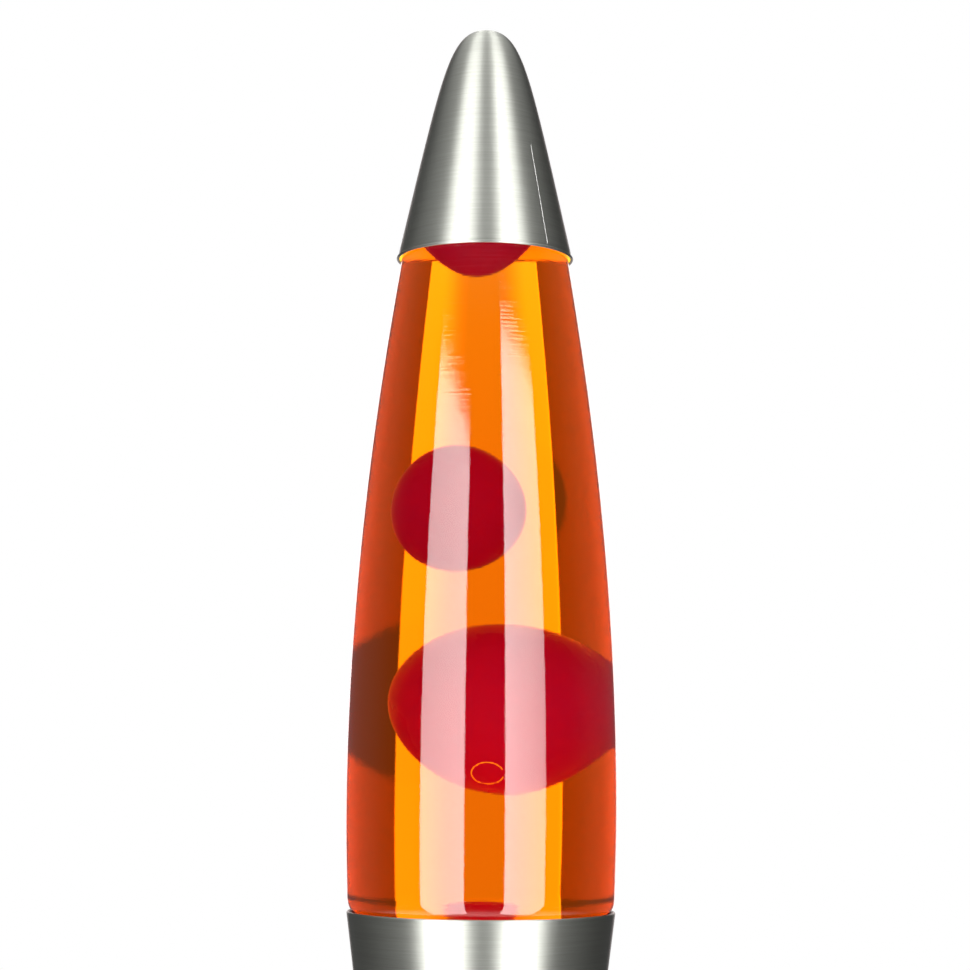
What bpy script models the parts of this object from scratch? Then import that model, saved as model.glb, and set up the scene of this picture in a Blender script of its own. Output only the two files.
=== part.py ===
"""Rocket-shaped lava lamp: a spun aluminium base and cap, a glass bottle of liquid and wax,
and a small reflector bulb in an E14 lampholder. Metres, +Z up, origin on the table under the axis."""

from math import atan, atan2, cos, hypot, pi, radians, sin, sqrt, tan

import bmesh
import bpy
from mathutils import Matrix, Vector

GAP = 0.0003
AXIS_EPSILON = 1e-6

BIG_STEPS = 24
MEDIUM_STEPS = 16
SMALL_STEPS = 12
SIDE_STEPS = 7
BLOB_STEPS = 16

# base
RIM_Z = 0.138
RIM_RADIUS = 0.04005
RIM_BEVEL = (0.0006, 0.0004)
CONE_MIDDLE_Z = RIM_Z - 0.042
SHEET = 0.001
CONE_ANGLE = radians(7.3)
WAIST_Z = 0.054
WAIST_FILLET = 0.014
FOOT_RADIUS = 0.054
FOOT_EDGE_Z = 0.003
HEM = 0.002
FLANGE_Z = 0.0065
FLANGE_THICKNESS = 0.001
FLANGE_INNER = 0.0435

# bottle
BOTTLE_MAX_RADIUS = 0.0406
BOTTLE_MAX_Z = RIM_Z + 0.0314
HEEL_Z = RIM_Z + 0.0045
HEEL_RADIUS = 0.0400
HEEL_WIDTH = 0.0125
HEEL_HEIGHT = 0.0095
PUNT_HEIGHT = 0.0006
PUNT_RADII = (0.0120, 0.0230)
INNER_PUNT_RADIUS = 0.0180
GLASS_WALL = 0.0030
FLOOR_THICKNESS = 0.0040
CAP_RIM_Z = RIM_Z + 0.197
BOTTLE_AT_CAP_RADIUS = 0.02564
BOTTLE_AT_CAP_ANGLE = radians(9.25)
BOTTLE_LOWER_PULL = 0.0790
BOTTLE_UPPER_PULL = 0.0225
SHOULDER_Z = RIM_Z + 0.219
SHOULDER_RADIUS = 0.0202
NECK_Z = RIM_Z + 0.228
NECK_RADIUS = 0.0128
BOTTLE_TOP_Z = RIM_Z + 0.2420
CROWN_RADIUS = 0.0143
CROWN_TOP_Z = BOTTLE_TOP_Z + 0.0016
CROWN_SKIRT = 0.0062
CROWN_SHEET = 0.0003
CRIMPS = 21

# cap
CAP_RIM_RADIUS = 0.0269
CAP_TOP_Z = RIM_Z + 0.2696
CAP_TOP_PULL = 0.0116
CAP_SIDE_PULL = 0.06225
CAP_ANGLE = radians(12.77)
CAP_SHEET = 0.0008

# filling
LIQUID_TOP_Z = RIM_Z + 0.2235
CHANNEL_RADIUS = 0.0010
POOL_RADIUS = 0.0105
POOL_HEIGHT = 0.0041
COIL_RADIUS = 0.0062
COIL_WIRE_LOOP = 0.0011

# each mass of wax: its centre, then its half width, half depth and half height
WAX_BLOBS = {
    "wax_blob_upper": ((-0.0018, 0.0000, 0.34300), (0.0150, 0.0150, 0.0158)),
    "wax_blob_middle": ((-0.0056, 0.0000, 0.25665), (0.0154, 0.0154, 0.0190)),
    "wax_blob_lower": ((0.0047, 0.0055, 0.19740), (0.0264, 0.0295, 0.0250)),
}

# seat ring inside the rim
SEAT_Z = RIM_Z - 0.0053
SEAT_LEDGE = 0.0020
SEAT_DEPTH = 0.0085
SEAT_INNER = 0.0240
SEAT_SKIRT = 0.0018

# bottom cover, feet and bracket
COVER_Z = 0.0050
COVER_THICKNESS = 0.0012
COVER_RADIUS = 0.0512
COVER_SCREW_RADIUS = 0.0472
FOOT_PITCH_RADIUS = 0.0380
RUBBER_FOOT_RADIUS = 0.0062
RUBBER_STEM_RADIUS = 0.0025
VENT_COUNT = 8
VENT_LENGTH = 0.0130
VENT_WIDTH = 0.0030
VENT_PITCH_RADIUS = 0.0205
BRACKET_Z = 0.0225
BRACKET_SHEET = 0.0015
BRACKET_WIDTH = 0.0220
BRACKET_SPAN = 0.0300
BRACKET_FOOT_SPAN = 0.0405
BRACKET_SCREW_X = 0.0358
EARTH_SCREW_X = -0.0190

# screws
SCREW_SHANK = 0.0015
SCREW_CLEARANCE = 0.0018
SCREW_HEAD_RADIUS = 0.0029
SCREW_HEAD_HEIGHT = 0.0013
SCREW_REACH = 0.0023

# lampholder and its hollow thread
NIPPLE_RADIUS = 0.0050
NIPPLE_BORE = 0.0040
NIPPLE_Z = (0.0140, 0.0345)
NUT_FLATS = 0.0140
LOWER_NUT_HEIGHT = 0.0030
WASHER_RADIUS = 0.0085
WASHER_THICKNESS = 0.0008
HOLDER_CAP_Z = 0.0264
HOLDER_BODY_Z = 0.0385
HOLDER_TOP_Z = 0.0720
HOLDER_FLOOR_Z = (0.0500, 0.0520)
HOLDER_BORE = 0.0078
HOLDER_SHELL = (0.0070, 0.0074)
HOLDER_LOWER_RADIUS = 0.0134
HOLDER_UPPER_RADIUS = 0.0122
TERMINAL_X = 0.0075
TERMINAL_HOLE = 0.0016
TERMINAL_SHANK = 0.0012

# bulb: R39 reflector on an E14 screw cap
BULB_TIP_Z = 0.0540
BULB_TOP_Z = 0.1200
BULB_RADIUS = 0.0195
BULB_GLASS = 0.0008
BULB_NECK_RADIUS = 0.0058
BULB_NECK_Z = 0.0660
BULB_CAP_Z = (0.0570, 0.0725)
BULB_CAP_RADIUS = (0.0061, 0.00665)
BULB_STEM_TOP_Z = 0.0850
FILAMENT_Z = 0.0970
FILAMENT_HALF_SPAN = 0.0055
LEAD_RADIUS = 0.00025
FILAMENT_RADIUS = 0.00022

# cord inlet
GROMMET_Z = 0.0200
GROMMET_BORE = 0.0044
GROMMET_NECK = 0.0059
GROMMET_FLANGE = 0.0074
GROMMET_LIP = 0.0014


def clear_scene():
    for old in list(bpy.data.objects):
        bpy.data.objects.remove(old, do_unlink=True)


def principled(name, colour, roughness, metallic=0.0, transmission=0.0, alpha=1.0):
    material = bpy.data.materials.new(name)
    material.use_nodes = True
    shader = material.node_tree.nodes["Principled BSDF"]
    shader.inputs["Base Color"].default_value = (*colour, 1.0)
    shader.inputs["Roughness"].default_value = roughness
    shader.inputs["Metallic"].default_value = metallic
    shader.inputs["Transmission Weight"].default_value = transmission
    shader.inputs["Alpha"].default_value = alpha
    material.diffuse_color = (*colour, alpha)
    return material


# ---------------------------------------------------------------- outlines, as lists of (radius, z)


def bezier(start, first, second, end, count):
    """Points along a cubic curve, both ends included."""
    points = []
    for step in range(count + 1):
        t = step / count
        weights = ((1 - t) ** 3, 3 * (1 - t) ** 2 * t, 3 * (1 - t) * t * t, t**3)
        corners = (start, first, second, end)
        r = sum(weight * corner[0] for weight, corner in zip(weights, corners))
        z = sum(weight * corner[1] for weight, corner in zip(weights, corners))
        points.append((r, z))
    return points


def ellipse(centre, half_width, half_height, start, end, count):
    """Points on an ellipse between two angles, both ends included."""
    points = []
    for step in range(count + 1):
        angle = start + (end - start) * step / count
        points.append((centre[0] + half_width * cos(angle), centre[1] + half_height * sin(angle)))
    return points


def offset(points, distance):
    """The outline moved to its own left: for one that runs down, inwards is a negative distance."""
    moved = []
    for index, (r, z) in enumerate(points):
        before = points[max(index - 1, 0)]
        after = points[min(index + 1, len(points) - 1)]
        length = hypot(after[0] - before[0], after[1] - before[1])
        normal = (-(after[1] - before[1]) / length, (after[0] - before[0]) / length)
        moved.append((r + normal[0] * distance, z + normal[1] * distance))
    return moved


def fillet(before, corner, after, radius, count):
    """A round corner of the given radius between two straight runs."""
    corner = Vector(corner)
    back = (Vector(before) - corner).normalized()
    onward = (Vector(after) - corner).normalized()
    half = back.angle(onward) / 2
    centre = corner + (back + onward).normalized() * radius / sin(half)
    first = corner + back * radius / tan(half) - centre
    last = corner + onward * radius / tan(half) - centre
    start = atan2(first.y, first.x)
    turn = (atan2(last.y, last.x) - start + pi) % (2 * pi) - pi
    points = []
    for step in range(count + 1):
        angle = start + turn * step / count
        points.append((centre.x + radius * cos(angle), centre.y + radius * sin(angle)))
    return points


def base_radius(z):
    """Outer radius of the base's upper cone."""
    return RIM_RADIUS - (RIM_Z - z) * tan(CONE_ANGLE)


def bottle_side(count):
    """The bottle's outer side from its widest place up to the cap's rim."""
    return bezier(
        (BOTTLE_MAX_RADIUS, BOTTLE_MAX_Z),
        (BOTTLE_MAX_RADIUS, BOTTLE_MAX_Z + BOTTLE_LOWER_PULL),
        (
            BOTTLE_AT_CAP_RADIUS + BOTTLE_UPPER_PULL * sin(BOTTLE_AT_CAP_ANGLE),
            CAP_RIM_Z - BOTTLE_UPPER_PULL * cos(BOTTLE_AT_CAP_ANGLE),
        ),
        (BOTTLE_AT_CAP_RADIUS, CAP_RIM_Z),
        count,
    )


def cap_side(count):
    """The cap's outside from the rim up to the tip."""
    return bezier(
        (CAP_RIM_RADIUS, CAP_RIM_Z),
        (
            CAP_RIM_RADIUS - CAP_SIDE_PULL * sin(CAP_ANGLE),
            CAP_RIM_Z + CAP_SIDE_PULL * cos(CAP_ANGLE),
        ),
        (CAP_TOP_PULL, CAP_TOP_Z),
        (0.0, CAP_TOP_Z),
        count,
    )


def inner_wall(count):
    """The bottle's inside from the heel up to the shoulder."""
    side = [(r - GLASS_WALL, z) for r, z in bottle_side(count)]
    shoulder = (SHOULDER_RADIUS - GLASS_WALL, SHOULDER_Z)
    return [(HEEL_RADIUS - GLASS_WALL, HEEL_Z), *side, shoulder]


def inner_heel(count):
    """The bottle's inside heel, from the floor out to the wall."""
    half_width = HEEL_WIDTH - GLASS_WALL
    half_height = HEEL_HEIGHT - FLOOR_THICKNESS
    centre = (HEEL_RADIUS - HEEL_WIDTH, HEEL_Z)
    return ellipse(centre, half_width, half_height, -pi / 2, 0.0, count)


FLOOR_EDGE_Z = HEEL_Z - HEEL_HEIGHT + FLOOR_THICKNESS
FLOOR_CENTRE_Z = FLOOR_EDGE_Z + PUNT_HEIGHT


# ---------------------------------------------------------------- solids


def add_object(name, mesh_data, material, parent, smooth_angle=radians(32)):
    """Turn a finished bmesh into a named object with its own material."""
    bmesh.ops.recalc_face_normals(mesh_data, faces=mesh_data.faces[:])
    mesh = bpy.data.meshes.new(name)
    mesh_data.to_mesh(mesh)
    mesh_data.free()
    mesh.materials.append(material)
    mesh.shade_smooth()
    mesh.set_sharp_from_angle(angle=smooth_angle)
    piece = bpy.data.objects.new(name, mesh)
    bpy.context.scene.collection.objects.link(piece)
    piece.parent = parent
    return piece


def turned_mesh(outline, steps, closed=False):
    """Spin an outline of (radius, z) round the Z axis. An open outline starts and ends on the axis."""
    mesh_data = bmesh.new()
    corners = [mesh_data.verts.new((r, 0.0, z)) for r, z in outline]
    pairs = list(zip(corners, corners[1:]))
    if closed:
        pairs.append((corners[-1], corners[0]))
    edges = [mesh_data.edges.new(pair) for pair in pairs]
    bmesh.ops.spin(
        mesh_data,
        geom=corners + edges,
        cent=(0, 0, 0),
        axis=(0, 0, 1),
        angle=2 * pi,
        steps=steps,
        use_merge=True,
    )
    bmesh.ops.remove_doubles(mesh_data, verts=mesh_data.verts[:], dist=AXIS_EPSILON)
    return mesh_data


def turned(name, outline, material, parent, steps=MEDIUM_STEPS, closed=False):
    return add_object(name, turned_mesh(outline, steps, closed), material, parent)


def ring_outline(inner, outer, low, high):
    """The outline of a plain sleeve or washer."""
    return [(inner, low), (outer, low), (outer, high), (inner, high)]


def box_mesh(size, centre, turn=0.0):
    mesh_data = bmesh.new()
    matrix = Matrix.Rotation(turn, 4, "Z") @ Matrix.Translation(centre) @ Matrix.Diagonal((*size, 1.0))
    bmesh.ops.create_cube(mesh_data, size=1.0, matrix=matrix)
    return mesh_data


def guide(name, mesh_data):
    """A cutter: it shapes other pieces and isn't one itself."""
    bmesh.ops.recalc_face_normals(mesh_data, faces=mesh_data.faces[:])
    mesh = bpy.data.meshes.new(name)
    mesh_data.to_mesh(mesh)
    mesh_data.free()
    cutter = bpy.data.objects.new(name, mesh)
    bpy.context.scene.collection.objects.link(cutter)
    cutter.hide_render = True
    cutter.display_type = "WIRE"
    return cutter


def cut(piece, cutter):
    modifier = piece.modifiers.new(cutter.name, "BOOLEAN")
    modifier.operation = "DIFFERENCE"
    modifier.solver = "EXACT"
    modifier.object = cutter


def round_cutter(name, radius, x, y, low, high):
    mesh_data = bmesh.new()
    matrix = Matrix.Translation((x, y, (low + high) / 2))
    bmesh.ops.create_cone(
        mesh_data,
        cap_ends=True,
        segments=SMALL_STEPS,
        radius1=radius,
        radius2=radius,
        depth=high - low,
        matrix=matrix,
    )
    return guide(name, mesh_data)


def pan_screw(name, x, y, head_low, tip, shank, material, parent):
    """A slotted pan-head screw on a vertical axis. Its tip is above its head, or below it."""
    up = 1 if tip > head_low else -1
    head_high = head_low + up * SCREW_HEAD_HEIGHT
    outline = [
        (0.0, head_low),
        (SCREW_HEAD_RADIUS * 0.8, head_low),
        (SCREW_HEAD_RADIUS, head_low + up * SCREW_HEAD_HEIGHT * 0.35),
        (SCREW_HEAD_RADIUS, head_high),
        (shank, head_high),
        (shank, tip - up * shank * 0.6),
        (shank * 0.5, tip),
        (0.0, tip),
    ]
    screw = turned(name, outline, material, parent, SMALL_STEPS)
    screw.location = (x, y, 0.0)
    slot_size = (SCREW_HEAD_RADIUS * 2.4, SCREW_HEAD_RADIUS * 0.28, SCREW_HEAD_HEIGHT)
    slot_centre = (0.0, 0.0, head_low - up * SCREW_HEAD_HEIGHT * 0.05)
    slot = guide(name + "_slot", box_mesh(slot_size, slot_centre))
    slot.location = (x, y, 0.0)
    cut(screw, slot)
    return screw


def hex_nut(name, low, high, material, parent):
    mesh_data = bmesh.new()
    bmesh.ops.create_cone(
        mesh_data,
        cap_ends=True,
        segments=6,
        radius1=NUT_FLATS / sqrt(3),
        radius2=NUT_FLATS / sqrt(3),
        depth=high - low,
        matrix=Matrix.Translation((0, 0, (low + high) / 2)),
    )
    nut = add_object(name, mesh_data, material, parent)
    cut(nut, round_cutter(name + "_bore", NIPPLE_RADIUS + GAP, 0.0, 0.0, low - SHEET, high + SHEET))
    return nut


def wire(name, points, radius, sides, material, parent):
    """A round wire along a list of points that stay in the XZ plane."""
    mesh_data = bmesh.new()
    loops = []
    for index, point in enumerate(points):
        before = Vector(points[max(index - 1, 0)])
        after = Vector(points[min(index + 1, len(points) - 1)])
        along = (after - before).normalized()
        across = along.cross(Vector((0, 1, 0))).normalized()
        loop = []
        for side in range(sides):
            angle = 2 * pi * side / sides
            place = Vector(point) + (across * cos(angle) + Vector((0, 1, 0)) * sin(angle)) * radius
            loop.append(mesh_data.verts.new(place))
        loops.append(loop)
    for lower, upper in zip(loops, loops[1:]):
        for side in range(sides):
            other = (side + 1) % sides
            mesh_data.faces.new((lower[side], lower[other], upper[other], upper[side]))
    mesh_data.faces.new(loops[0])
    mesh_data.faces.new(loops[-1])
    return add_object(name, mesh_data, material, parent)


# ---------------------------------------------------------------- cap


def make_top_cap(parent):
    material = principled("spun_aluminium_cap", (0.72, 0.73, 0.71), 0.32, 1.0)
    outside = list(reversed(cap_side(10)))
    inside = []
    for r, z in offset(outside, -CAP_SHEET):
        inside.append((max(r, 0.0), max(z, CAP_RIM_Z)))
    inside[0] = (0.0, CAP_TOP_Z - CAP_SHEET)
    turned("top_cap", outside + list(reversed(inside)), material, parent, BIG_STEPS)


# ---------------------------------------------------------------- bottle


def make_glass_bottle(parent):
    material = principled("bottle_glass", (0.98, 0.93, 0.88), 0.02, 0.0, 1.0, 0.25)
    outer_heel_centre = (HEEL_RADIUS - HEEL_WIDTH, HEEL_Z)
    outside = [
        (0.0, HEEL_Z - HEEL_HEIGHT + PUNT_HEIGHT),
        (PUNT_RADII[0], HEEL_Z - HEEL_HEIGHT + PUNT_HEIGHT * 0.75),
        (PUNT_RADII[1], HEEL_Z - HEEL_HEIGHT + PUNT_HEIGHT * 0.15),
        *ellipse(outer_heel_centre, HEEL_WIDTH, HEEL_HEIGHT, -pi / 2, 0.0, 6),
        *bottle_side(SIDE_STEPS),
        (SHOULDER_RADIUS, SHOULDER_Z),
        *bezier(
            (SHOULDER_RADIUS - 0.0004, SHOULDER_Z + 0.0014),
            (SHOULDER_RADIUS - 0.0022, SHOULDER_Z + 0.0060),
            (NECK_RADIUS, NECK_Z - 0.0030),
            (NECK_RADIUS, NECK_Z),
            3,
        ),
        (NECK_RADIUS, BOTTLE_TOP_Z),
    ]
    inside = [
        (NECK_RADIUS - GLASS_WALL, BOTTLE_TOP_Z),
        (NECK_RADIUS - GLASS_WALL, NECK_Z),
        (SHOULDER_RADIUS - GLASS_WALL - 0.0022, SHOULDER_Z + 0.0032),
        *reversed(inner_wall(SIDE_STEPS)),
        *reversed(inner_heel(4)[:-1]),
        (INNER_PUNT_RADIUS, FLOOR_EDGE_Z + PUNT_HEIGHT * 0.45),
        (0.0, FLOOR_CENTRE_Z),
    ]
    turned("glass_bottle", outside + inside, material, parent, BIG_STEPS)


def make_crown(parent):
    """The crimped crown and the sealing disc inside it."""
    steel = principled("crown_steel", (0.62, 0.60, 0.52), 0.35, 1.0)
    liner = principled("liner_plastic", (0.85, 0.84, 0.80), 0.6)
    low = CROWN_TOP_Z - CROWN_SKIRT
    skirt = CROWN_RADIUS
    outline = [
        (0.0, CROWN_TOP_Z),
        (NECK_RADIUS - 0.0012, CROWN_TOP_Z),
        (NECK_RADIUS + 0.0004, CROWN_TOP_Z - 0.0010),
        (skirt, low),
        (skirt - CROWN_SHEET, low),
        (NECK_RADIUS + 0.0004 - CROWN_SHEET, CROWN_TOP_Z - 0.0012),
        (NECK_RADIUS - 0.0013, CROWN_TOP_Z - CROWN_SHEET),
        (0.0, CROWN_TOP_Z - CROWN_SHEET),
    ]
    mesh_data = turned_mesh(outline, CRIMPS * 2)
    for vert in mesh_data.verts:
        radius = hypot(vert.co.x, vert.co.y)
        if vert.co.z < CROWN_TOP_Z - CROWN_SKIRT / 2:
            wave = cos(CRIMPS * atan2(vert.co.y, vert.co.x))
            vert.co.xy *= 1 - 0.00045 * (1 - wave) / radius
    add_object("crown_cap", mesh_data, steel, parent)
    disc = [
        (0.0, BOTTLE_TOP_Z + GAP),
        (NECK_RADIUS - 0.0022, BOTTLE_TOP_Z + GAP),
        (NECK_RADIUS - 0.0022, CROWN_TOP_Z - CROWN_SHEET - GAP),
        (0.0, CROWN_TOP_Z - CROWN_SHEET - GAP),
    ]
    turned("crown_cap_liner", disc, liner, parent, MEDIUM_STEPS)


def blob_mesh(half_width, half_depth, half_height):
    """A rounded mass round its own centre."""
    outline = ellipse((0.0, 0.0), half_width, half_height, -pi / 2, pi / 2, 9)
    outline[0] = (0.0, -half_height)
    outline[-1] = (0.0, half_height)
    mesh_data = turned_mesh(outline, BLOB_STEPS)
    for vert in mesh_data.verts:
        vert.co.y *= half_depth / half_width
    return mesh_data


def make_wax_blob(name, parent, material):
    """A mass of wax. Its empty sits at its rest height, and it slides along Z."""
    centre, half_sizes = WAX_BLOBS[name]
    carrier = bpy.data.objects.new(name + "_slide", None)
    bpy.context.scene.collection.objects.link(carrier)
    carrier.location = centre
    carrier.parent = parent
    add_object(name, blob_mesh(*half_sizes), material, carrier)


def make_liquid(parent):
    """The filling, with room for the wax. A thin channel joins its hollows, so none is sealed."""
    material = principled("orange_liquid", (1.0, 0.42, 0.02), 0.03, 0.0, 1.0, 0.5)
    wall = [(r - GAP, z) for r, z in inner_wall(SIDE_STEPS)]
    heel = [(r - GAP, z + GAP) for r, z in inner_heel(4)[:-1]]
    outline = [
        (0.0, FLOOR_CENTRE_Z + GAP),
        (INNER_PUNT_RADIUS, FLOOR_EDGE_Z + PUNT_HEIGHT * 0.45 + GAP),
        *heel,
        *wall,
        (SHOULDER_RADIUS - GLASS_WALL - 0.0022 - GAP, SHOULDER_Z + 0.0032),
        (SHOULDER_RADIUS - GLASS_WALL - 0.0034, LIQUID_TOP_Z),
        (0.0, LIQUID_TOP_Z),
    ]
    liquid = turned("liquid", outline, material, parent, BIG_STEPS)
    for name, (centre, half_sizes) in WAX_BLOBS.items():
        room = blob_mesh(*(half_size + 2 * GAP for half_size in half_sizes))
        cutter = guide(name + "_room", room)
        cutter.location = centre
        cut(liquid, cutter)
    pool_room = [
        (0.0, FLOOR_EDGE_Z - SHEET),
        (POOL_RADIUS + 2 * GAP, FLOOR_EDGE_Z - SHEET),
        *ellipse(
            (0.0, FLOOR_CENTRE_Z), POOL_RADIUS + 2 * GAP, POOL_HEIGHT + 2 * GAP, 0.0, pi / 2, 4
        )[:-1],
        (0.0, FLOOR_CENTRE_Z + POOL_HEIGHT + 2 * GAP),
    ]
    cut(liquid, guide("wax_pool_room", turned_mesh(pool_room, MEDIUM_STEPS)))
    channel = round_cutter(
        "filling_channel", CHANNEL_RADIUS, 0.0, 0.0, FLOOR_CENTRE_Z + GAP, LIQUID_TOP_Z + SHEET
    )
    cut(liquid, channel)


def make_wax_pool(parent, material):
    """The mound of wax on the floor, with the ring of wire let into its underside."""
    low = FLOOR_CENTRE_Z + GAP
    groove_in = COIL_RADIUS - COIL_WIRE_LOOP - GAP
    groove_out = COIL_RADIUS + COIL_WIRE_LOOP + GAP
    groove_top = low + 2 * COIL_WIRE_LOOP + 2 * GAP
    dome = ellipse((0.0, low), POOL_RADIUS, POOL_HEIGHT - GAP, 0.0, pi / 2, 5)
    outline = [
        (0.0, low),
        (groove_in, low),
        (groove_in, groove_top),
        (groove_out, groove_top),
        (groove_out, low),
        *dome[:-1],
        (0.0, low + POOL_HEIGHT - GAP),
    ]
    turned("wax_pool", outline, material, parent, MEDIUM_STEPS)
    steel = principled("coil_steel", (0.55, 0.55, 0.56), 0.4, 1.0)
    centre = (COIL_RADIUS, low + GAP + COIL_WIRE_LOOP)
    loop = ellipse(centre, COIL_WIRE_LOOP, COIL_WIRE_LOOP, 0.0, 2 * pi, 8)[:-1]
    turned("wax_coil", loop, steel, parent, MEDIUM_STEPS, closed=True)


# ---------------------------------------------------------------- base


def base_outline():
    """The spun shell in section: outside down to the foot, then back up the inside."""
    flare_angle = atan((FOOT_RADIUS - base_radius(WAIST_Z)) / (WAIST_Z - FOOT_EDGE_Z))
    rim = (RIM_RADIUS, RIM_Z)
    waist = (base_radius(WAIST_Z), WAIST_Z)
    foot = (FOOT_RADIUS, FOOT_EDGE_Z)
    outside = [
        (RIM_RADIUS - RIM_BEVEL[0], RIM_Z),
        (RIM_RADIUS - 0.0001, RIM_Z - RIM_BEVEL[1]),
        (base_radius(CONE_MIDDLE_Z), CONE_MIDDLE_Z),
        *fillet(rim, waist, foot, WAIST_FILLET, 5),
        (FOOT_RADIUS - 0.0010 * tan(flare_angle), FOOT_EDGE_Z + 0.0010),
        (FOOT_RADIUS - 0.0008, FOOT_EDGE_Z),
    ]
    hem = [
        (FOOT_RADIUS - HEM - 0.0004, FOOT_EDGE_Z),
        (FOOT_RADIUS - HEM - 0.0006, FLANGE_Z),
        (FLANGE_INNER, FLANGE_Z),
        (FLANGE_INNER, FLANGE_Z + FLANGE_THICKNESS),
    ]
    across = SHEET / cos(CONE_ANGLE)
    lean = SHEET / cos(flare_angle)
    inner_foot_z = FLANGE_Z + FLANGE_THICKNESS
    inner_foot = (FOOT_RADIUS - (inner_foot_z - FOOT_EDGE_Z) * tan(flare_angle) - lean, inner_foot_z)
    inner_waist = (base_radius(WAIST_Z) - across * 1.12, WAIST_Z)
    inner_rim = (RIM_RADIUS - across - 0.0001, RIM_Z - RIM_BEVEL[1])
    inside = [
        inner_foot,
        *reversed(fillet(inner_rim, inner_waist, inner_foot, WAIST_FILLET + SHEET, 5)),
        (base_radius(CONE_MIDDLE_Z) - across, CONE_MIDDLE_Z),
        inner_rim,
    ]
    return outside + hem + inside, flare_angle


def make_base_shell(parent):
    material = principled("spun_aluminium_base", (0.70, 0.71, 0.69), 0.34, 1.0)
    outline, flare_angle = base_outline()
    shell = turned("base_shell", outline, material, parent, BIG_STEPS, closed=True)
    middle = FOOT_RADIUS - (GROMMET_Z - FOOT_EDGE_Z) * tan(flare_angle) - SHEET / 2
    place = Matrix.Translation((0.0, middle, GROMMET_Z)) @ Matrix.Rotation(flare_angle - pi / 2, 4, "X")
    hole = bmesh.new()
    bmesh.ops.create_cone(
        hole,
        cap_ends=True,
        segments=MEDIUM_STEPS,
        radius1=GROMMET_NECK + GAP,
        radius2=GROMMET_NECK + GAP,
        depth=0.012,
    )
    cutter = guide("inlet_hole", hole)
    cutter.matrix_world = place
    cut(shell, cutter)
    for index in range(3):
        x, y = cover_screw_place(index)
        cut(shell, round_cutter(f"flange_hole_{index + 1}", SCREW_CLEARANCE, x, y, 0.0045, 0.0095))
    make_cord_grommet(parent, place)


def make_cord_grommet(parent, place):
    """A rubber bush snapped into the inlet hole, its axis square to the sloping wall.

    The wall is round, so it bows inwards under the inner flange, which stands clear of it."""
    rubber = principled("grommet_rubber", (0.03, 0.03, 0.03), 0.7)
    outer_face = SHEET / 2 + GAP
    inner_face = -SHEET / 2 - GAP - GROMMET_FLANGE * tan(pi / BIG_STEPS)
    outline = [
        (GROMMET_BORE, inner_face - GROMMET_LIP),
        (GROMMET_FLANGE - 0.0006, inner_face - GROMMET_LIP),
        (GROMMET_FLANGE, inner_face - GROMMET_LIP / 2),
        (GROMMET_FLANGE, inner_face),
        (GROMMET_NECK, inner_face),
        (GROMMET_NECK, outer_face),
        (GROMMET_FLANGE, outer_face),
        (GROMMET_FLANGE, outer_face + GROMMET_LIP / 2),
        (GROMMET_FLANGE - 0.0008, outer_face + GROMMET_LIP),
        (GROMMET_BORE, outer_face + GROMMET_LIP),
    ]
    bush = turned("cord_grommet", outline, rubber, parent, MEDIUM_STEPS, closed=True)
    bush.matrix_world = place


def make_bottle_seat(parent):
    """A ledge pressed in under the rim, which the bottle's heel stands on."""
    material = principled("seat_plastic", (0.05, 0.05, 0.05), 0.5)
    slack = SHEET / cos(CONE_ANGLE) + 2 * GAP
    top = SEAT_Z - GAP
    low = SEAT_Z - SEAT_DEPTH
    outline = [
        (SEAT_INNER, top),
        (base_radius(top) - slack, top),
        (base_radius(low) - slack, low),
        (base_radius(low) - slack - SEAT_SKIRT, low),
        (base_radius(top - SEAT_LEDGE) - slack - SEAT_SKIRT, top - SEAT_LEDGE),
        (SEAT_INNER, top - SEAT_LEDGE),
    ]
    turned("bottle_seat_ring", outline, material, parent, BIG_STEPS, closed=True)


def cover_screw_place(index):
    angle = pi / 2 + index * 2 * pi / 3 + pi / 3
    return COVER_SCREW_RADIUS * cos(angle), COVER_SCREW_RADIUS * sin(angle)


def foot_place(index):
    angle = pi / 4 + index * pi / 2
    return FOOT_PITCH_RADIUS * cos(angle), FOOT_PITCH_RADIUS * sin(angle)


def make_bottom_cover(parent):
    material = principled("cover_paint", (0.02, 0.02, 0.02), 0.5)
    outline = [
        (0.0, COVER_Z),
        (COVER_RADIUS - 0.0003, COVER_Z),
        (COVER_RADIUS, COVER_Z + 0.0003),
        (COVER_RADIUS, COVER_Z + COVER_THICKNESS),
        (0.0, COVER_Z + COVER_THICKNESS),
    ]
    cover = turned("bottom_cover", outline, material, parent, BIG_STEPS)
    low = COVER_Z - SHEET
    high = COVER_Z + COVER_THICKNESS + SHEET
    for index in range(3):
        x, y = cover_screw_place(index)
        cut(cover, round_cutter(f"cover_hole_{index + 1}", SCREW_CLEARANCE, x, y, low, high))
    for index in range(4):
        x, y = foot_place(index)
        cut(cover, round_cutter(f"foot_hole_{index + 1}", RUBBER_STEM_RADIUS + GAP, x, y, low, high))
    for side in (-1, 1):
        name = f"bracket_hole_{side + 1}"
        cut(cover, round_cutter(name, SCREW_CLEARANCE, side * BRACKET_SCREW_X, 0.0, low, high))
    for index in range(VENT_COUNT):
        angle = pi / VENT_COUNT + index * 2 * pi / VENT_COUNT
        slot_size = (VENT_LENGTH, VENT_WIDTH, high - low)
        slot = box_mesh(slot_size, (VENT_PITCH_RADIUS, 0.0, (low + high) / 2), angle)
        cut(cover, guide(f"vent_slot_{index + 1}", slot))


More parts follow.
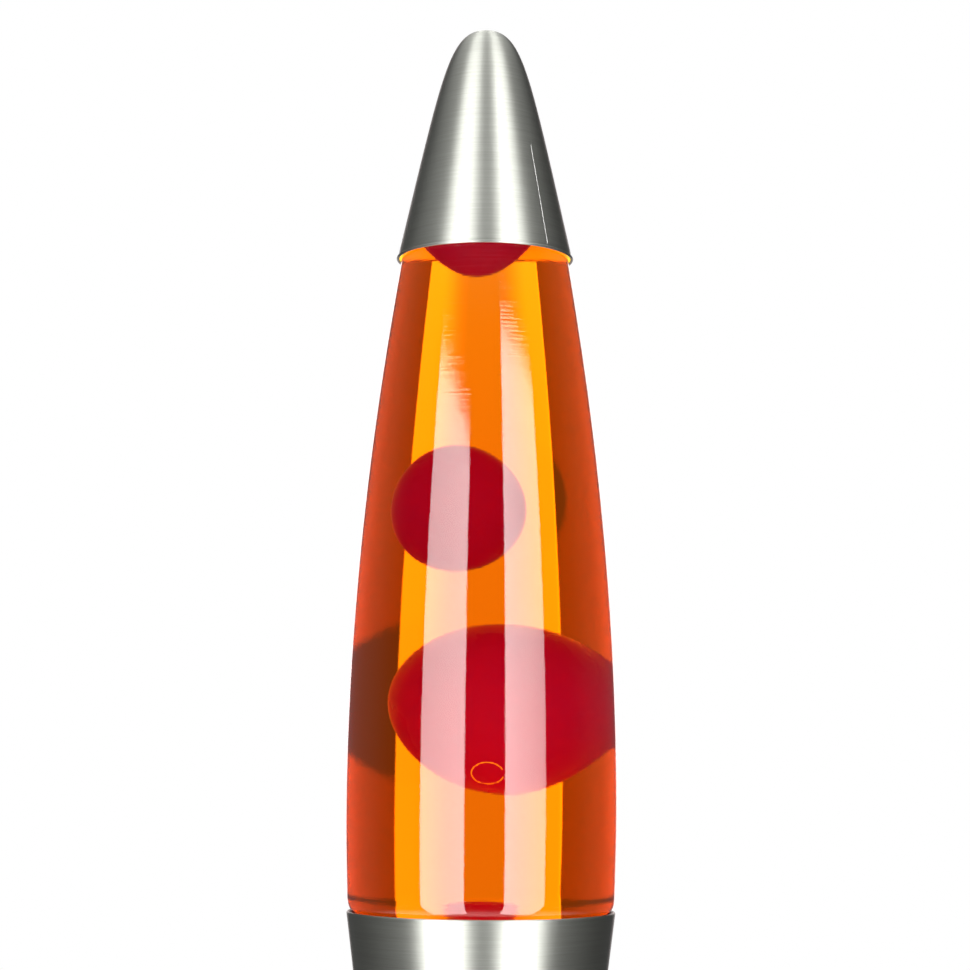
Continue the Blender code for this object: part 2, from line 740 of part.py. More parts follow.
def make_cover_screws(parent, steel):
    for index in range(3):
        x, y = cover_screw_place(index)
        head_low = COVER_Z - GAP - SCREW_HEAD_HEIGHT
        tip = FLANGE_Z + FLANGE_THICKNESS + SCREW_REACH
        pan_screw(f"cover_screw_{index + 1}", x, y, head_low, tip, SCREW_SHANK, steel, parent)


def make_rubber_feet(parent):
    rubber = principled("foot_rubber", (0.025, 0.025, 0.025), 0.75)
    top = COVER_Z + COVER_THICKNESS
    outline = [
        (0.0, 0.0),
        (RUBBER_FOOT_RADIUS - 0.0008, 0.0),
        (RUBBER_FOOT_RADIUS, 0.0010),
        (RUBBER_FOOT_RADIUS - 0.0004, COVER_Z - GAP),
        (RUBBER_STEM_RADIUS, COVER_Z - GAP),
        (RUBBER_STEM_RADIUS, top + GAP),
        (RUBBER_STEM_RADIUS + 0.0010, top + GAP),
        (RUBBER_STEM_RADIUS - 0.0006, top + 0.0022),
        (0.0, top + 0.0022),
    ]
    for index in range(4):
        foot = turned(f"rubber_foot_{index + 1}", outline, rubber, parent, SMALL_STEPS)
        foot.location = (*foot_place(index), 0.0)


def make_holder_bracket(parent, steel):
    """A strap bent into a bridge: two feet on the cover, two legs and a raised top."""
    zinc = principled("bracket_zinc", (0.60, 0.61, 0.62), 0.42, 1.0)
    foot_top = COVER_Z + COVER_THICKNESS + GAP + BRACKET_SHEET
    topside = [
        (-BRACKET_FOOT_SPAN, foot_top),
        (-BRACKET_SPAN - 0.0015, foot_top),
        (-BRACKET_SPAN + 0.0015, BRACKET_Z),
        (BRACKET_SPAN - 0.0015, BRACKET_Z),
        (BRACKET_SPAN + 0.0015, foot_top),
        (BRACKET_FOOT_SPAN, foot_top),
    ]
    underside = [
        (-BRACKET_FOOT_SPAN, foot_top - BRACKET_SHEET),
        (-BRACKET_SPAN, foot_top - BRACKET_SHEET),
        (-BRACKET_SPAN + 0.0030, BRACKET_Z - BRACKET_SHEET),
        (BRACKET_SPAN - 0.0030, BRACKET_Z - BRACKET_SHEET),
        (BRACKET_SPAN, foot_top - BRACKET_SHEET),
        (BRACKET_FOOT_SPAN, foot_top - BRACKET_SHEET),
    ]
    mesh_data = bmesh.new()
    outline = topside + list(reversed(underside))
    face = mesh_data.faces.new([mesh_data.verts.new((x, -BRACKET_WIDTH / 2, z)) for x, z in outline])
    swept = bmesh.ops.extrude_face_region(mesh_data, geom=[face])
    far = [item for item in swept["geom"] if isinstance(item, bmesh.types.BMVert)]
    bmesh.ops.translate(mesh_data, verts=far, vec=(0, BRACKET_WIDTH, 0))
    bracket = add_object("holder_bracket", mesh_data, zinc, parent)
    middle_low = BRACKET_Z - BRACKET_SHEET - SHEET
    middle_high = BRACKET_Z + SHEET
    cut(bracket, round_cutter("nipple_hole", NIPPLE_RADIUS + GAP, 0.0, 0.0, middle_low, middle_high))
    cut(bracket, round_cutter("earth_hole", SCREW_CLEARANCE, EARTH_SCREW_X, 0.0, middle_low, middle_high))
    for side, label in ((-1, "left"), (1, "right")):
        x = side * BRACKET_SCREW_X
        hole_low = foot_top - BRACKET_SHEET - SHEET
        hole_name = f"bracket_foot_hole_{label}"
        cut(bracket, round_cutter(hole_name, SCREW_CLEARANCE, x, 0.0, hole_low, foot_top + SHEET))
        head_low = COVER_Z - GAP - SCREW_HEAD_HEIGHT
        tip = foot_top + SCREW_REACH
        pan_screw(f"bracket_screw_{label}", x, 0.0, head_low, tip, SCREW_SHANK, steel, parent)
    head_top = BRACKET_Z + GAP + SCREW_HEAD_HEIGHT
    tip = BRACKET_Z - BRACKET_SHEET - 2 * SCREW_REACH
    pan_screw("earth_screw", EARTH_SCREW_X, 0.0, head_top, tip, SCREW_SHANK, steel, parent)


def make_holder_fixings(parent):
    """The hollow thread, its nuts and the lock washer."""
    zinc = principled("fixing_zinc", (0.66, 0.64, 0.56), 0.36, 1.0)
    nipple = ring_outline(NIPPLE_BORE, NIPPLE_RADIUS, *NIPPLE_Z)
    turned("threaded_nipple", nipple, zinc, parent, closed=True)
    hex_nut("nipple_nut_upper", BRACKET_Z + GAP, HOLDER_CAP_Z - GAP, zinc, parent)
    washer_top = BRACKET_Z - BRACKET_SHEET - GAP
    washer_low = washer_top - WASHER_THICKNESS
    washer = ring_outline(NIPPLE_RADIUS + GAP, WASHER_RADIUS, washer_low, washer_top)
    turned("lock_washer", washer, zinc, parent, closed=True)
    nut_top = washer_low - GAP
    hex_nut("nipple_nut_lower", nut_top - LOWER_NUT_HEIGHT, nut_top, zinc, parent)


def make_lampholder(parent, steel):
    phenolic = principled("holder_phenolic", (0.03, 0.028, 0.026), 0.35)
    brass = principled("holder_brass", (0.78, 0.60, 0.28), 0.3, 1.0)
    floor_low, floor_high = HOLDER_FLOOR_Z
    cap_top = HOLDER_BODY_Z - GAP
    cap = [
        (NIPPLE_RADIUS + GAP, HOLDER_CAP_Z),
        (0.0078, HOLDER_CAP_Z),
        (0.0084, HOLDER_CAP_Z + 0.0030),
        (HOLDER_LOWER_RADIUS - 0.0006, HOLDER_CAP_Z + 0.0065),
        (HOLDER_LOWER_RADIUS, cap_top),
        (HOLDER_LOWER_RADIUS - 0.0020, cap_top),
        (HOLDER_LOWER_RADIUS - 0.0028, HOLDER_CAP_Z + 0.0085),
        (NIPPLE_RADIUS + GAP, HOLDER_CAP_Z + 0.0050),
    ]
    turned("lampholder_cap", cap, phenolic, parent, closed=True)
    body = [
        (HOLDER_LOWER_RADIUS, HOLDER_BODY_Z),
        (HOLDER_LOWER_RADIUS, HOLDER_BODY_Z + 0.0070),
        (HOLDER_UPPER_RADIUS, HOLDER_BODY_Z + 0.0090),
        (HOLDER_UPPER_RADIUS - 0.0012, HOLDER_TOP_Z),
        (HOLDER_BORE, HOLDER_TOP_Z),
        (HOLDER_BORE, floor_high),
        (0.0022, floor_high),
        (0.0022, floor_low),
        (HOLDER_LOWER_RADIUS - 0.0024, floor_low),
        (HOLDER_LOWER_RADIUS - 0.0020, HOLDER_BODY_Z),
    ]
    holder = turned("lampholder_body", body, phenolic, parent, closed=True)
    shell_in, shell_out = HOLDER_SHELL
    shell_low = floor_high + GAP
    sleeve = [
        (0.0040, shell_low),
        (shell_out, shell_low),
        (shell_out, HOLDER_TOP_Z - 0.0020),
        (shell_in, HOLDER_TOP_Z - 0.0020),
        (shell_in, shell_low + 0.0004),
        (0.0040, shell_low + 0.0004),
    ]
    turned("lampholder_screw_shell", sleeve, brass, parent, closed=True)
    contact = [
        (0.0, floor_low - 0.0034),
        (0.0040, floor_low - 0.0034),
        (0.0040, floor_low - 0.0030),
        (0.0016, floor_low - 0.0030),
        (0.0016, BULB_TIP_Z - GAP - 0.0008),
        (0.0030, BULB_TIP_Z - GAP - 0.0008),
        (0.0030, BULB_TIP_Z - GAP),
        (0.0, BULB_TIP_Z - GAP),
    ]
    turned("lampholder_centre_contact", contact, brass, parent, SMALL_STEPS)
    for side, label in ((-1, "left"), (1, "right")):
        x = side * TERMINAL_X
        hole_low = floor_low - SHEET
        hole_high = floor_high - 0.0004
        cut(holder, round_cutter(f"terminal_hole_{label}", TERMINAL_HOLE, x, 0.0, hole_low, hole_high))
        head_low = floor_low - GAP - SCREW_HEAD_HEIGHT
        tip = floor_high - 0.0008
        pan_screw(f"terminal_screw_{label}", x, 0.0, head_low, tip, TERMINAL_SHANK, steel, parent)


# ---------------------------------------------------------------- bulb


def make_bulb(parent):
    """The reflector bulb. Its empty is on the screw axis, and everything but the tip turns with it."""
    glass = principled("bulb_glass", (0.95, 0.95, 0.93), 0.12, 0.0, 0.6, 0.5)
    nickel = principled("bulb_nickel", (0.75, 0.74, 0.70), 0.25, 1.0)
    vitrite = principled("bulb_vitrite", (0.02, 0.02, 0.03), 0.2)
    tungsten = principled("bulb_tungsten", (0.35, 0.35, 0.36), 0.5, 1.0)
    solder = principled("bulb_solder", (0.62, 0.62, 0.63), 0.4, 1.0)
    screw_axis = bpy.data.objects.new("bulb_turn", None)
    bpy.context.scene.collection.objects.link(screw_axis)
    screw_axis.parent = parent

    crown_z = BULB_TOP_Z - 0.0085
    front = ellipse((0.0, crown_z), BULB_RADIUS, BULB_TOP_Z - crown_z, pi / 2, 0.0, 5)
    front[0] = (0.0, BULB_TOP_Z)
    reflector = bezier(
        (BULB_RADIUS - 0.0006, crown_z - 0.0050),
        (BULB_RADIUS - 0.0030, crown_z - 0.0190),
        (BULB_NECK_RADIUS + 0.0022, BULB_NECK_Z + 0.0170),
        (BULB_NECK_RADIUS, BULB_NECK_Z + 0.0075),
        4,
    )
    outside = [*front, *reflector, (BULB_NECK_RADIUS, BULB_NECK_Z)]
    inside = []
    for r, z in offset(outside, -BULB_GLASS):
        inside.append((max(r, 0.0), max(z, BULB_NECK_Z)))
    inside[0] = (0.0, BULB_TOP_Z - BULB_GLASS)
    turned("bulb_envelope", outside + list(reversed(inside)), glass, screw_axis)

    cap_in, cap_out = BULB_CAP_RADIUS
    cap_low, cap_high = BULB_CAP_Z
    cap = [
        (0.0038, cap_low),
        (cap_out - 0.0010, cap_low),
        (cap_out, cap_low + 0.0012),
        (cap_out, cap_high),
        (cap_in, cap_high),
        (cap_in, cap_low + 0.0014),
        (cap_in - 0.0008, cap_low + 0.0006),
        (0.0038, cap_low + 0.0006),
    ]
    turned("bulb_screw_cap", cap, nickel, screw_axis, closed=True)
    insulator = [
        (0.0014, BULB_TIP_Z + 0.0012),
        (0.0032, BULB_TIP_Z + 0.0012),
        (0.0054, cap_low - GAP),
        (0.0035, cap_low - GAP),
        (0.0030, cap_low + 0.0012),
        (0.0014, cap_low + 0.0012),
    ]
    turned("bulb_cap_insulator", insulator, vitrite, screw_axis, closed=True)
    tip = [
        (0.0, BULB_TIP_Z),
        (0.0016, BULB_TIP_Z),
        (0.0024, BULB_TIP_Z + 0.0004),
        (0.0024, BULB_TIP_Z + 0.0012 - GAP),
        (0.0010, BULB_TIP_Z + 0.0012 - GAP),
        (0.0010, cap_low + 0.0020),
        (0.0, cap_low + 0.0020),
    ]
    turned("bulb_centre_contact", tip, solder, parent, SMALL_STEPS)

    stem = [
        (0.0, BULB_NECK_Z),
        (BULB_NECK_RADIUS - BULB_GLASS - 0.0005, BULB_NECK_Z),
        (0.0030, BULB_NECK_Z + 0.0050),
        (0.0024, BULB_STEM_TOP_Z - 0.0030),
        (0.0018, BULB_STEM_TOP_Z),
        (0.0, BULB_STEM_TOP_Z),
    ]
    turned("bulb_stem", stem, glass, screw_axis, SMALL_STEPS)
    for side, label in ((-1, "left"), (1, "right")):
        lead = [
            (side * 0.0010, 0.0, BULB_STEM_TOP_Z + GAP),
            (side * 0.0018, 0.0, BULB_STEM_TOP_Z + 0.0030),
            (side * (FILAMENT_HALF_SPAN + 0.0008), 0.0, FILAMENT_Z - 0.0020),
            (side * (FILAMENT_HALF_SPAN + 0.0008), 0.0, FILAMENT_Z + 0.0006),
        ]
        wire(f"bulb_lead_{label}", lead, LEAD_RADIUS, 6, nickel, screw_axis)
    filament = []
    for step in range(9):
        angle = pi * step / 8
        filament.append((-FILAMENT_HALF_SPAN * cos(angle), 0.0, FILAMENT_Z + 0.0016 * sin(angle)))
    wire("bulb_filament", filament, FILAMENT_RADIUS, 6, tungsten, screw_axis)


# ---------------------------------------------------------------- assembly


def make_body_empty(name, parent=None):
    """An empty that carries one moving body, on the lamp's axis."""
    carrier = bpy.data.objects.new(name, None)
    bpy.context.scene.collection.objects.link(carrier)
    carrier.parent = parent
    return carrier


def main():
    clear_scene()
    base = make_body_empty("base")
    bottle = make_body_empty("bottle", base)
    cap = make_body_empty("cap", bottle)
    bulb_rise = make_body_empty("bulb_rise", base)
    steel = principled("screw_steel", (0.68, 0.68, 0.67), 0.35, 1.0)
    wax = principled("red_wax", (0.45, 0.005, 0.03), 0.3)

    make_top_cap(cap)
    make_glass_bottle(bottle)
    make_crown(bottle)
    make_liquid(bottle)
    make_wax_pool(bottle, wax)
    for name in WAX_BLOBS:
        make_wax_blob(name, bottle, wax)

    make_base_shell(base)
    make_bottle_seat(base)
    make_bottom_cover(base)
    make_cover_screws(base, steel)
    make_rubber_feet(base)
    make_holder_bracket(base, steel)
    make_holder_fixings(base)
    make_lampholder(base, steel)
    make_bulb(bulb_rise)


main()
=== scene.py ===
from math import atan, atan2, cos, hypot, pi, radians, sin, tan

import bmesh
import bpy
from mathutils import Matrix, Vector


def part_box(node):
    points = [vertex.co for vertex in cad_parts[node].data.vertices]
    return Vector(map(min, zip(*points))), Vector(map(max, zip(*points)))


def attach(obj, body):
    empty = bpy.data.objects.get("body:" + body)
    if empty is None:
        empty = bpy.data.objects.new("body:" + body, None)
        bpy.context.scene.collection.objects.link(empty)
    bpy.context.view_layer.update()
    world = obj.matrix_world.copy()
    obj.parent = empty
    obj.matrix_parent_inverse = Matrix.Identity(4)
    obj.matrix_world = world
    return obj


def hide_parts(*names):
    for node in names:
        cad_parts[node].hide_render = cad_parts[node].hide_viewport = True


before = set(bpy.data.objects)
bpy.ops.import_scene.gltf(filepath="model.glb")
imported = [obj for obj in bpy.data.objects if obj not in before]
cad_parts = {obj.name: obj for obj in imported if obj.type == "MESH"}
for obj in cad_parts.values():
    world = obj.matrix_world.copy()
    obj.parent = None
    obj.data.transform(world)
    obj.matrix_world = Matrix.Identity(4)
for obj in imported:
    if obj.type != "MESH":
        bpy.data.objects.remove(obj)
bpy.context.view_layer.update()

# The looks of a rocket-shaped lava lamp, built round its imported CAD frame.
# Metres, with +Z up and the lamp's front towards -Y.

# ---- sizes

GAP = 0.0003
SKIN = 0.00002
ON_AXIS = 1e-7

BASE_LOW, BASE_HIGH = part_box("base_shell")
BOTTLE_LOW, BOTTLE_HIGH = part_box("glass_bottle")
CAP_LOW, CAP_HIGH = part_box("top_cap")
LIQUID_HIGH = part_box("liquid")[1]
CROWN_LOW, CROWN_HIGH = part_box("crown_cap")
LINER_LOW, LINER_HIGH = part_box("crown_cap_liner")
POOL_LOW, POOL_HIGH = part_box("wax_pool")
COIL_LOW, COIL_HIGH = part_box("wax_coil")
COVER_LOW, COVER_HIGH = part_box("bottom_cover")
SEAT_LOW, SEAT_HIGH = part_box("bottle_seat_ring")
BRACKET_LOW, BRACKET_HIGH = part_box("holder_bracket")
HOLDER_LOW, HOLDER_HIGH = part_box("lampholder_body")
HOLDER_CAP_LOW, HOLDER_CAP_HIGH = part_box("lampholder_cap")
SHELL_LOW, SHELL_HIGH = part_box("lampholder_screw_shell")
BULB_LOW, BULB_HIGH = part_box("bulb_envelope")
BULB_CAP_LOW, BULB_CAP_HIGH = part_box("bulb_screw_cap")

# base
RIM_Z = BASE_HIGH.z
RIM_RADIUS = 0.04005
SHEET = 0.001
CONE_ANGLE = radians(7.3)
WAIST_Z = 0.054
WAIST_FILLET = 0.014
FOOT_RADIUS = BASE_HIGH.x
FOOT_EDGE_Z = BASE_LOW.z
FLANGE_Z = 0.0065
FLANGE_INNER = 0.0435

# bottle
BOTTLE_MAX_RADIUS = BOTTLE_HIGH.x
BOTTLE_MAX_Z = RIM_Z + 0.0314
HEEL_Z = RIM_Z + 0.0045
HEEL_RADIUS = 0.04
HEEL_WIDTH = 0.0125
HEEL_HEIGHT = HEEL_Z - BOTTLE_LOW.z
GLASS_WALL = 0.003
GLASS_IOR = 1.5
LIQUID_IOR = 1.36
FLOOR_THICKNESS = 0.004
PUNT_HEIGHT = 0.0006
BOTTLE_AT_CAP_RADIUS = 0.02564
BOTTLE_AT_CAP_ANGLE = radians(9.25)
BOTTLE_LOWER_PULL = 0.079
BOTTLE_UPPER_PULL = 0.0225
SHOULDER_Z = RIM_Z + 0.219
SHOULDER_RADIUS = 0.0202
NECK_Z = RIM_Z + 0.228
NECK_RADIUS = 0.0128
CRIMPS = 21

# cap
CAP_RIM_Z = CAP_LOW.z
CAP_TOP_Z = CAP_HIGH.z
CAP_RIM_RADIUS = CAP_HIGH.x
CAP_ANGLE = radians(12.77)
CAP_SIDE_PULL = 0.06225
CAP_TOP_PULL = 0.0116
CAP_SHEET = 0.0008
CAP_BEAD = 0.00042
# Heights over which the cap's inside has a painted glow, strongest at the rim.
CAP_PAINTED_GLOW_LOW_Z = CAP_RIM_Z + 0.003
CAP_PAINTED_GLOW_HIGH_Z = CAP_RIM_Z + 0.012
# A real score line on the cap, painted whiter and less metallic than the aluminium as a painted glint.
SCORE_BEARING = radians(45)
SCORE_WIDTH = 0.00009
SCORE_LOW_Z = CAP_RIM_Z + 0.0015
SCORE_HIGH_Z = CAP_RIM_Z + 0.0332

# wax
# Heights over which the wax is painted lighter and pinker low down, as painted light from beneath.
PAINTED_UNDERLIGHT_LOW_Z = RIM_Z + 0.032
PAINTED_UNDERLIGHT_HIGH_Z = RIM_Z + 0.097

# fittings inside and under the base
GROMMET_Z = 0.02
GROMMET_BORE = 0.0044
GROMMET_NECK = 0.0059
GROMMET_FLANGE = 0.0074
GROMMET_LIP = 0.0014
SEAT_INNER = 0.024
SEAT_LEDGE = 0.002
SEAT_SKIRT = 0.0018
COVER_SCREW_COUNT = 3
COVER_SCREW_RADIUS = 0.0472
FOOT_COUNT = 4
FOOT_PITCH_RADIUS = 0.038
FOOT_RUBBER_RADIUS = 0.0062
FOOT_STEM_RADIUS = 0.0025
VENT_COUNT = 8
VENT_LENGTH = 0.013
VENT_WIDTH = 0.003
VENT_PITCH_RADIUS = 0.0205
BRACKET_SHEET = 0.0015
BRACKET_SPAN = 0.03
BRACKET_SCREW_X = 0.0358
EARTH_SCREW_X = -0.019
SCREW_SHANK = 0.0015
SCREW_CLEARANCE = 0.0018
SCREW_HEAD_RADIUS = 0.0029
SCREW_HEAD_HEIGHT = 0.0013
NIPPLE_RADIUS = 0.005
NIPPLE_BORE = 0.004
HOLDER_BORE = 0.0078
HOLDER_FLOOR_HIGH = 0.052
HOLDER_FLOOR_LOW = 0.05
HOLDER_LOWER_RADIUS = 0.0134
HOLDER_UPPER_RADIUS = 0.0122
TERMINAL_X = 0.0075
TERMINAL_SHANK = 0.0012

# bulb
E14_PITCH = 0.0028222
BULB_RADIUS = BULB_HIGH.x
BULB_GLASS = 0.0008
BULB_NECK_RADIUS = 0.0058
BULB_STEM_TOP_Z = 0.085
FILAMENT_Z = 0.097
FILAMENT_HALF_SPAN = 0.0055

FINE_STEPS = 256
MEDIUM_STEPS = 96
SMALL_STEPS = 48


# ---- outlines, as lists of (radius, z)


def bezier(start, first, second, end, count):
    points = []
    for step in range(count + 1):
        t = step / count
        weights = ((1 - t) ** 3, 3 * (1 - t) ** 2 * t, 3 * (1 - t) * t * t, t**3)
        corners = (start, first, second, end)
        r = sum(weight * corner[0] for weight, corner in zip(weights, corners))
        z = sum(weight * corner[1] for weight, corner in zip(weights, corners))
        points.append((r, z))
    return points


def ellipse(centre, half_width, half_height, start, end, count):
    points = []
    for step in range(count + 1):
        angle = start + (end - start) * step / count
        points.append((centre[0] + half_width * cos(angle), centre[1] + half_height * sin(angle)))
    return points


def offset(points, distance):
    """The outline moved to its own left. For one that runs down, inwards is a negative distance."""
    moved = []
    for index, (r, z) in enumerate(points):
        before = points[max(index - 1, 0)]
        after = points[min(index + 1, len(points) - 1)]
        length = hypot(after[0] - before[0], after[1] - before[1])
        normal = (-(after[1] - before[1]) / length, (after[0] - before[0]) / length)
        moved.append((r + normal[0] * distance, z + normal[1] * distance))
    return moved


def fillet(before, corner, after, radius, count):
    """A round corner of the given radius between two straight runs."""
    corner = Vector(corner)
    back = (Vector(before) - corner).normalized()
    onward = (Vector(after) - corner).normalized()
    half = back.angle(onward) / 2
    centre = corner + (back + onward).normalized() * radius / sin(half)
    first = corner + back * radius / tan(half) - centre
    last = corner + onward * radius / tan(half) - centre
    start = atan2(first.y, first.x)
    turn = (atan2(last.y, last.x) - start + pi) % (2 * pi) - pi
    return ellipse((centre.x, centre.y), radius, radius, start, start + turn, count)


def eased(corners, radius, count):
    """The outline with every corner off the axis rounded."""
    points = []
    total = len(corners)
    for index, corner in enumerate(corners):
        before = corners[index - 1]
        after = corners[(index + 1) % total]
        if corner[0] < ON_AXIS:
            points.append(corner)
            continue
        here = Vector(corner)
        back = Vector(before) - here
        onward = Vector(after) - here
        half = back.angle(onward) / 2
        if half > radians(86):
            points.append(corner)
            continue
        room = min(back.length, onward.length) * 0.45
        size = min(radius, room * tan(half))
        points += fillet(before, corner, after, size, count)
    return points


def run(start, end, count):
    """Points along a straight run, without its last one."""
    points = []
    for step in range(count):
        t = step / count
        points.append((start[0] + (end[0] - start[0]) * t, start[1] + (end[1] - start[1]) * t))
    return points


def base_radius(z):
    return RIM_RADIUS - (RIM_Z - z) * tan(CONE_ANGLE)


FLARE_ANGLE = atan((FOOT_RADIUS - base_radius(WAIST_Z)) / (WAIST_Z - FOOT_EDGE_Z))


# ---- meshes


def skin(form, rings, steps):
    """Join rings of points into a surface. A ring may be one point on the axis."""
    for lower, upper in zip(rings, rings[1:]):
        for step in range(steps):
            other = (step + 1) % steps
            corners = [lower[step % len(lower)], lower[other % len(lower)]]
            corners += [upper[other % len(upper)], upper[step % len(upper)]]
            form.faces.new(list(dict.fromkeys(corners)))
    bmesh.ops.recalc_face_normals(form, faces=form.faces[:])


def turned_mesh(outline, steps):
    """Spin an outline round the Z axis. Off the axis, it closes on itself."""
    form = bmesh.new()
    rings = []
    for r, z in outline:
        if r < ON_AXIS:
            rings.append([form.verts.new((0.0, 0.0, z))])
            continue
        ring = []
        for step in range(steps):
            angle = 2 * pi * step / steps
            ring.append(form.verts.new((r * cos(angle), r * sin(angle), z)))
        rings.append(ring)
    if outline[0][0] > ON_AXIS:
        rings.append(rings[0])
    skin(form, rings, steps)
    return form


def tube_mesh(points, radius, sides, closed=False):
    """A round wire along a smooth path."""
    path = [Vector(point) for point in points]
    count = len(path)
    form = bmesh.new()
    loops = []
    across = None
    for index, point in enumerate(path):
        before = path[index - 1] if closed else path[max(index - 1, 0)]
        after = path[(index + 1) % count] if closed else path[min(index + 1, count - 1)]
        along = (after - before).normalized()
        if across is None:
            across = along.orthogonal()
        across = (across - along * across.dot(along)).normalized()
        other = along.cross(across)
        loop = []
        for side in range(sides):
            angle = 2 * pi * side / sides
            loop.append(form.verts.new(point + (across * cos(angle) + other * sin(angle)) * radius))
        loops.append(loop)
    if closed:
        first = min(range(sides), key=lambda side: (loops[0][side].co - loops[-1][0].co).length)
        loops.append(loops[0][first:] + loops[0][:first])
    else:
        form.faces.new(loops[0])
        form.faces.new(loops[-1])
    skin(form, loops, sides)
    return form


def flat_mesh(corners, y=0.0):
    """One upright face through (x, z) corners."""
    form = bmesh.new()
    form.faces.new([form.verts.new((x, y, z)) for x, z in corners])
    return form


def sweep(form, way):
    """Make a flat face into a solid bar."""
    swept = bmesh.ops.extrude_face_region(form, geom=form.faces[:])
    far = [item for item in swept["geom"] if isinstance(item, bmesh.types.BMVert)]
    bmesh.ops.translate(form, verts=far, vec=way)
    bmesh.ops.recalc_face_normals(form, faces=form.faces[:])


def box_cutter(size, centre, turn=0.0):
    form = bmesh.new()
    matrix = Matrix.Rotation(turn, 4, "Z") @ Matrix.Translation(centre) @ Matrix.Diagonal((*size, 1.0))
    bmesh.ops.create_cube(form, size=1.0, matrix=matrix)
    return form


def slot_cutter(length, width, low, high, pitch_radius, turn):
    """A slot with round ends, lying along a radius."""
    form = bmesh.new()
    reach = (length - width) / 2
    outline = ellipse((pitch_radius + reach, 0.0), width / 2, width / 2, -pi / 2, pi / 2, 12)
    outline += ellipse((pitch_radius - reach, 0.0), width / 2, width / 2, pi / 2, 3 * pi / 2, 12)
    form.faces.new([form.verts.new((x, y, low)) for x, y in outline])
    sweep(form, (0, 0, high - low))
    bmesh.ops.transform(form, matrix=Matrix.Rotation(turn, 4, "Z"), verts=form.verts[:])
    return form


def round_cutter(radius, x, y, low, high, sides=32):
    form = bmesh.new()
    matrix = Matrix.Translation((x, y, (low + high) / 2))
    bmesh.ops.create_cone(form, cap_ends=True, segments=sides, radius1=radius, radius2=radius,
                          depth=high - low, matrix=matrix)
    return form


def mesh_object(name, form):
    mesh = bpy.data.meshes.new(name)
    form.to_mesh(mesh)
    form.free()
    piece = bpy.data.objects.new(name, mesh)
    bpy.context.scene.collection.objects.link(piece)
    return piece


def carved(name, form, cutters):
    """The mesh with every cutter taken away from it."""
    piece = mesh_object(name + "_blank", form)
    tools = []
    for index, cutter_mesh in enumerate(cutters):
        bmesh.ops.recalc_face_normals(cutter_mesh, faces=cutter_mesh.faces[:])
        tool = mesh_object(f"{name}_cutter_{index}", cutter_mesh)
        modifier = piece.modifiers.new(tool.name, "BOOLEAN")
        modifier.operation = "DIFFERENCE"
        modifier.solver = "EXACT"
        modifier.object = tool
        tools.append(tool)
    bpy.context.view_layer.update()
    graph = bpy.context.evaluated_depsgraph_get()
    result = bmesh.new()
    result.from_mesh(piece.evaluated_get(graph).to_mesh())
    for tool in tools + [piece]:
        mesh = tool.data
        bpy.data.objects.remove(tool, do_unlink=True)
        bpy.data.meshes.remove(mesh)
    return result


def show(name, form, materials, body, nodes, sharp=radians(35), matrix=None):
    """Make a shown piece that rides on a body and stands for CAD nodes."""
    if matrix is not None:
        bmesh.ops.transform(form, matrix=matrix, verts=form.verts[:])
    piece = mesh_object(name, form)
    for material in materials:
        piece.data.materials.append(material)
    piece.data.shade_smooth()
    piece.data.set_sharp_from_angle(angle=sharp)
    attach(piece, body)
    if nodes:
        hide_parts(*nodes)
    return piece


def show_eased(name, corners, radius, count, steps, material, body, node):
    """Show a turned piece of one material with its corners rounded."""
    show(name, turned_mesh(eased(corners, radius, count), steps), [material], body, [node])


def wind_thread(form, near, low, high, pitch, depth):
    """Press a helical thread into the rings whose radius is close to the given one."""
    for vert in form.verts:
        r = hypot(vert.co.x, vert.co.y)
        if abs(r - near) > 1e-5 or not low < vert.co.z < high:
            continue
        turn = atan2(vert.co.y, vert.co.x) / (2 * pi)
        fade = min(1.0, (vert.co.z - low) / pitch, (high - vert.co.z) / pitch)
        wave = 0.5 - 0.5 * cos(2 * pi * ((vert.co.z - low) / pitch - turn))
        vert.co.xy *= 1 - depth * wave * fade / r


def flute(form, inner, low, high, count, depth):
    """Press even flutes into what lies outside a radius and between two heights."""
    for vert in form.verts:
        r = hypot(vert.co.x, vert.co.y)
        if r > inner and low < vert.co.z < high:
            wave = 0.5 - 0.5 * cos(count * atan2(vert.co.y, vert.co.x))
            vert.co.xy *= 1 - depth * wave / r


# ---- materials


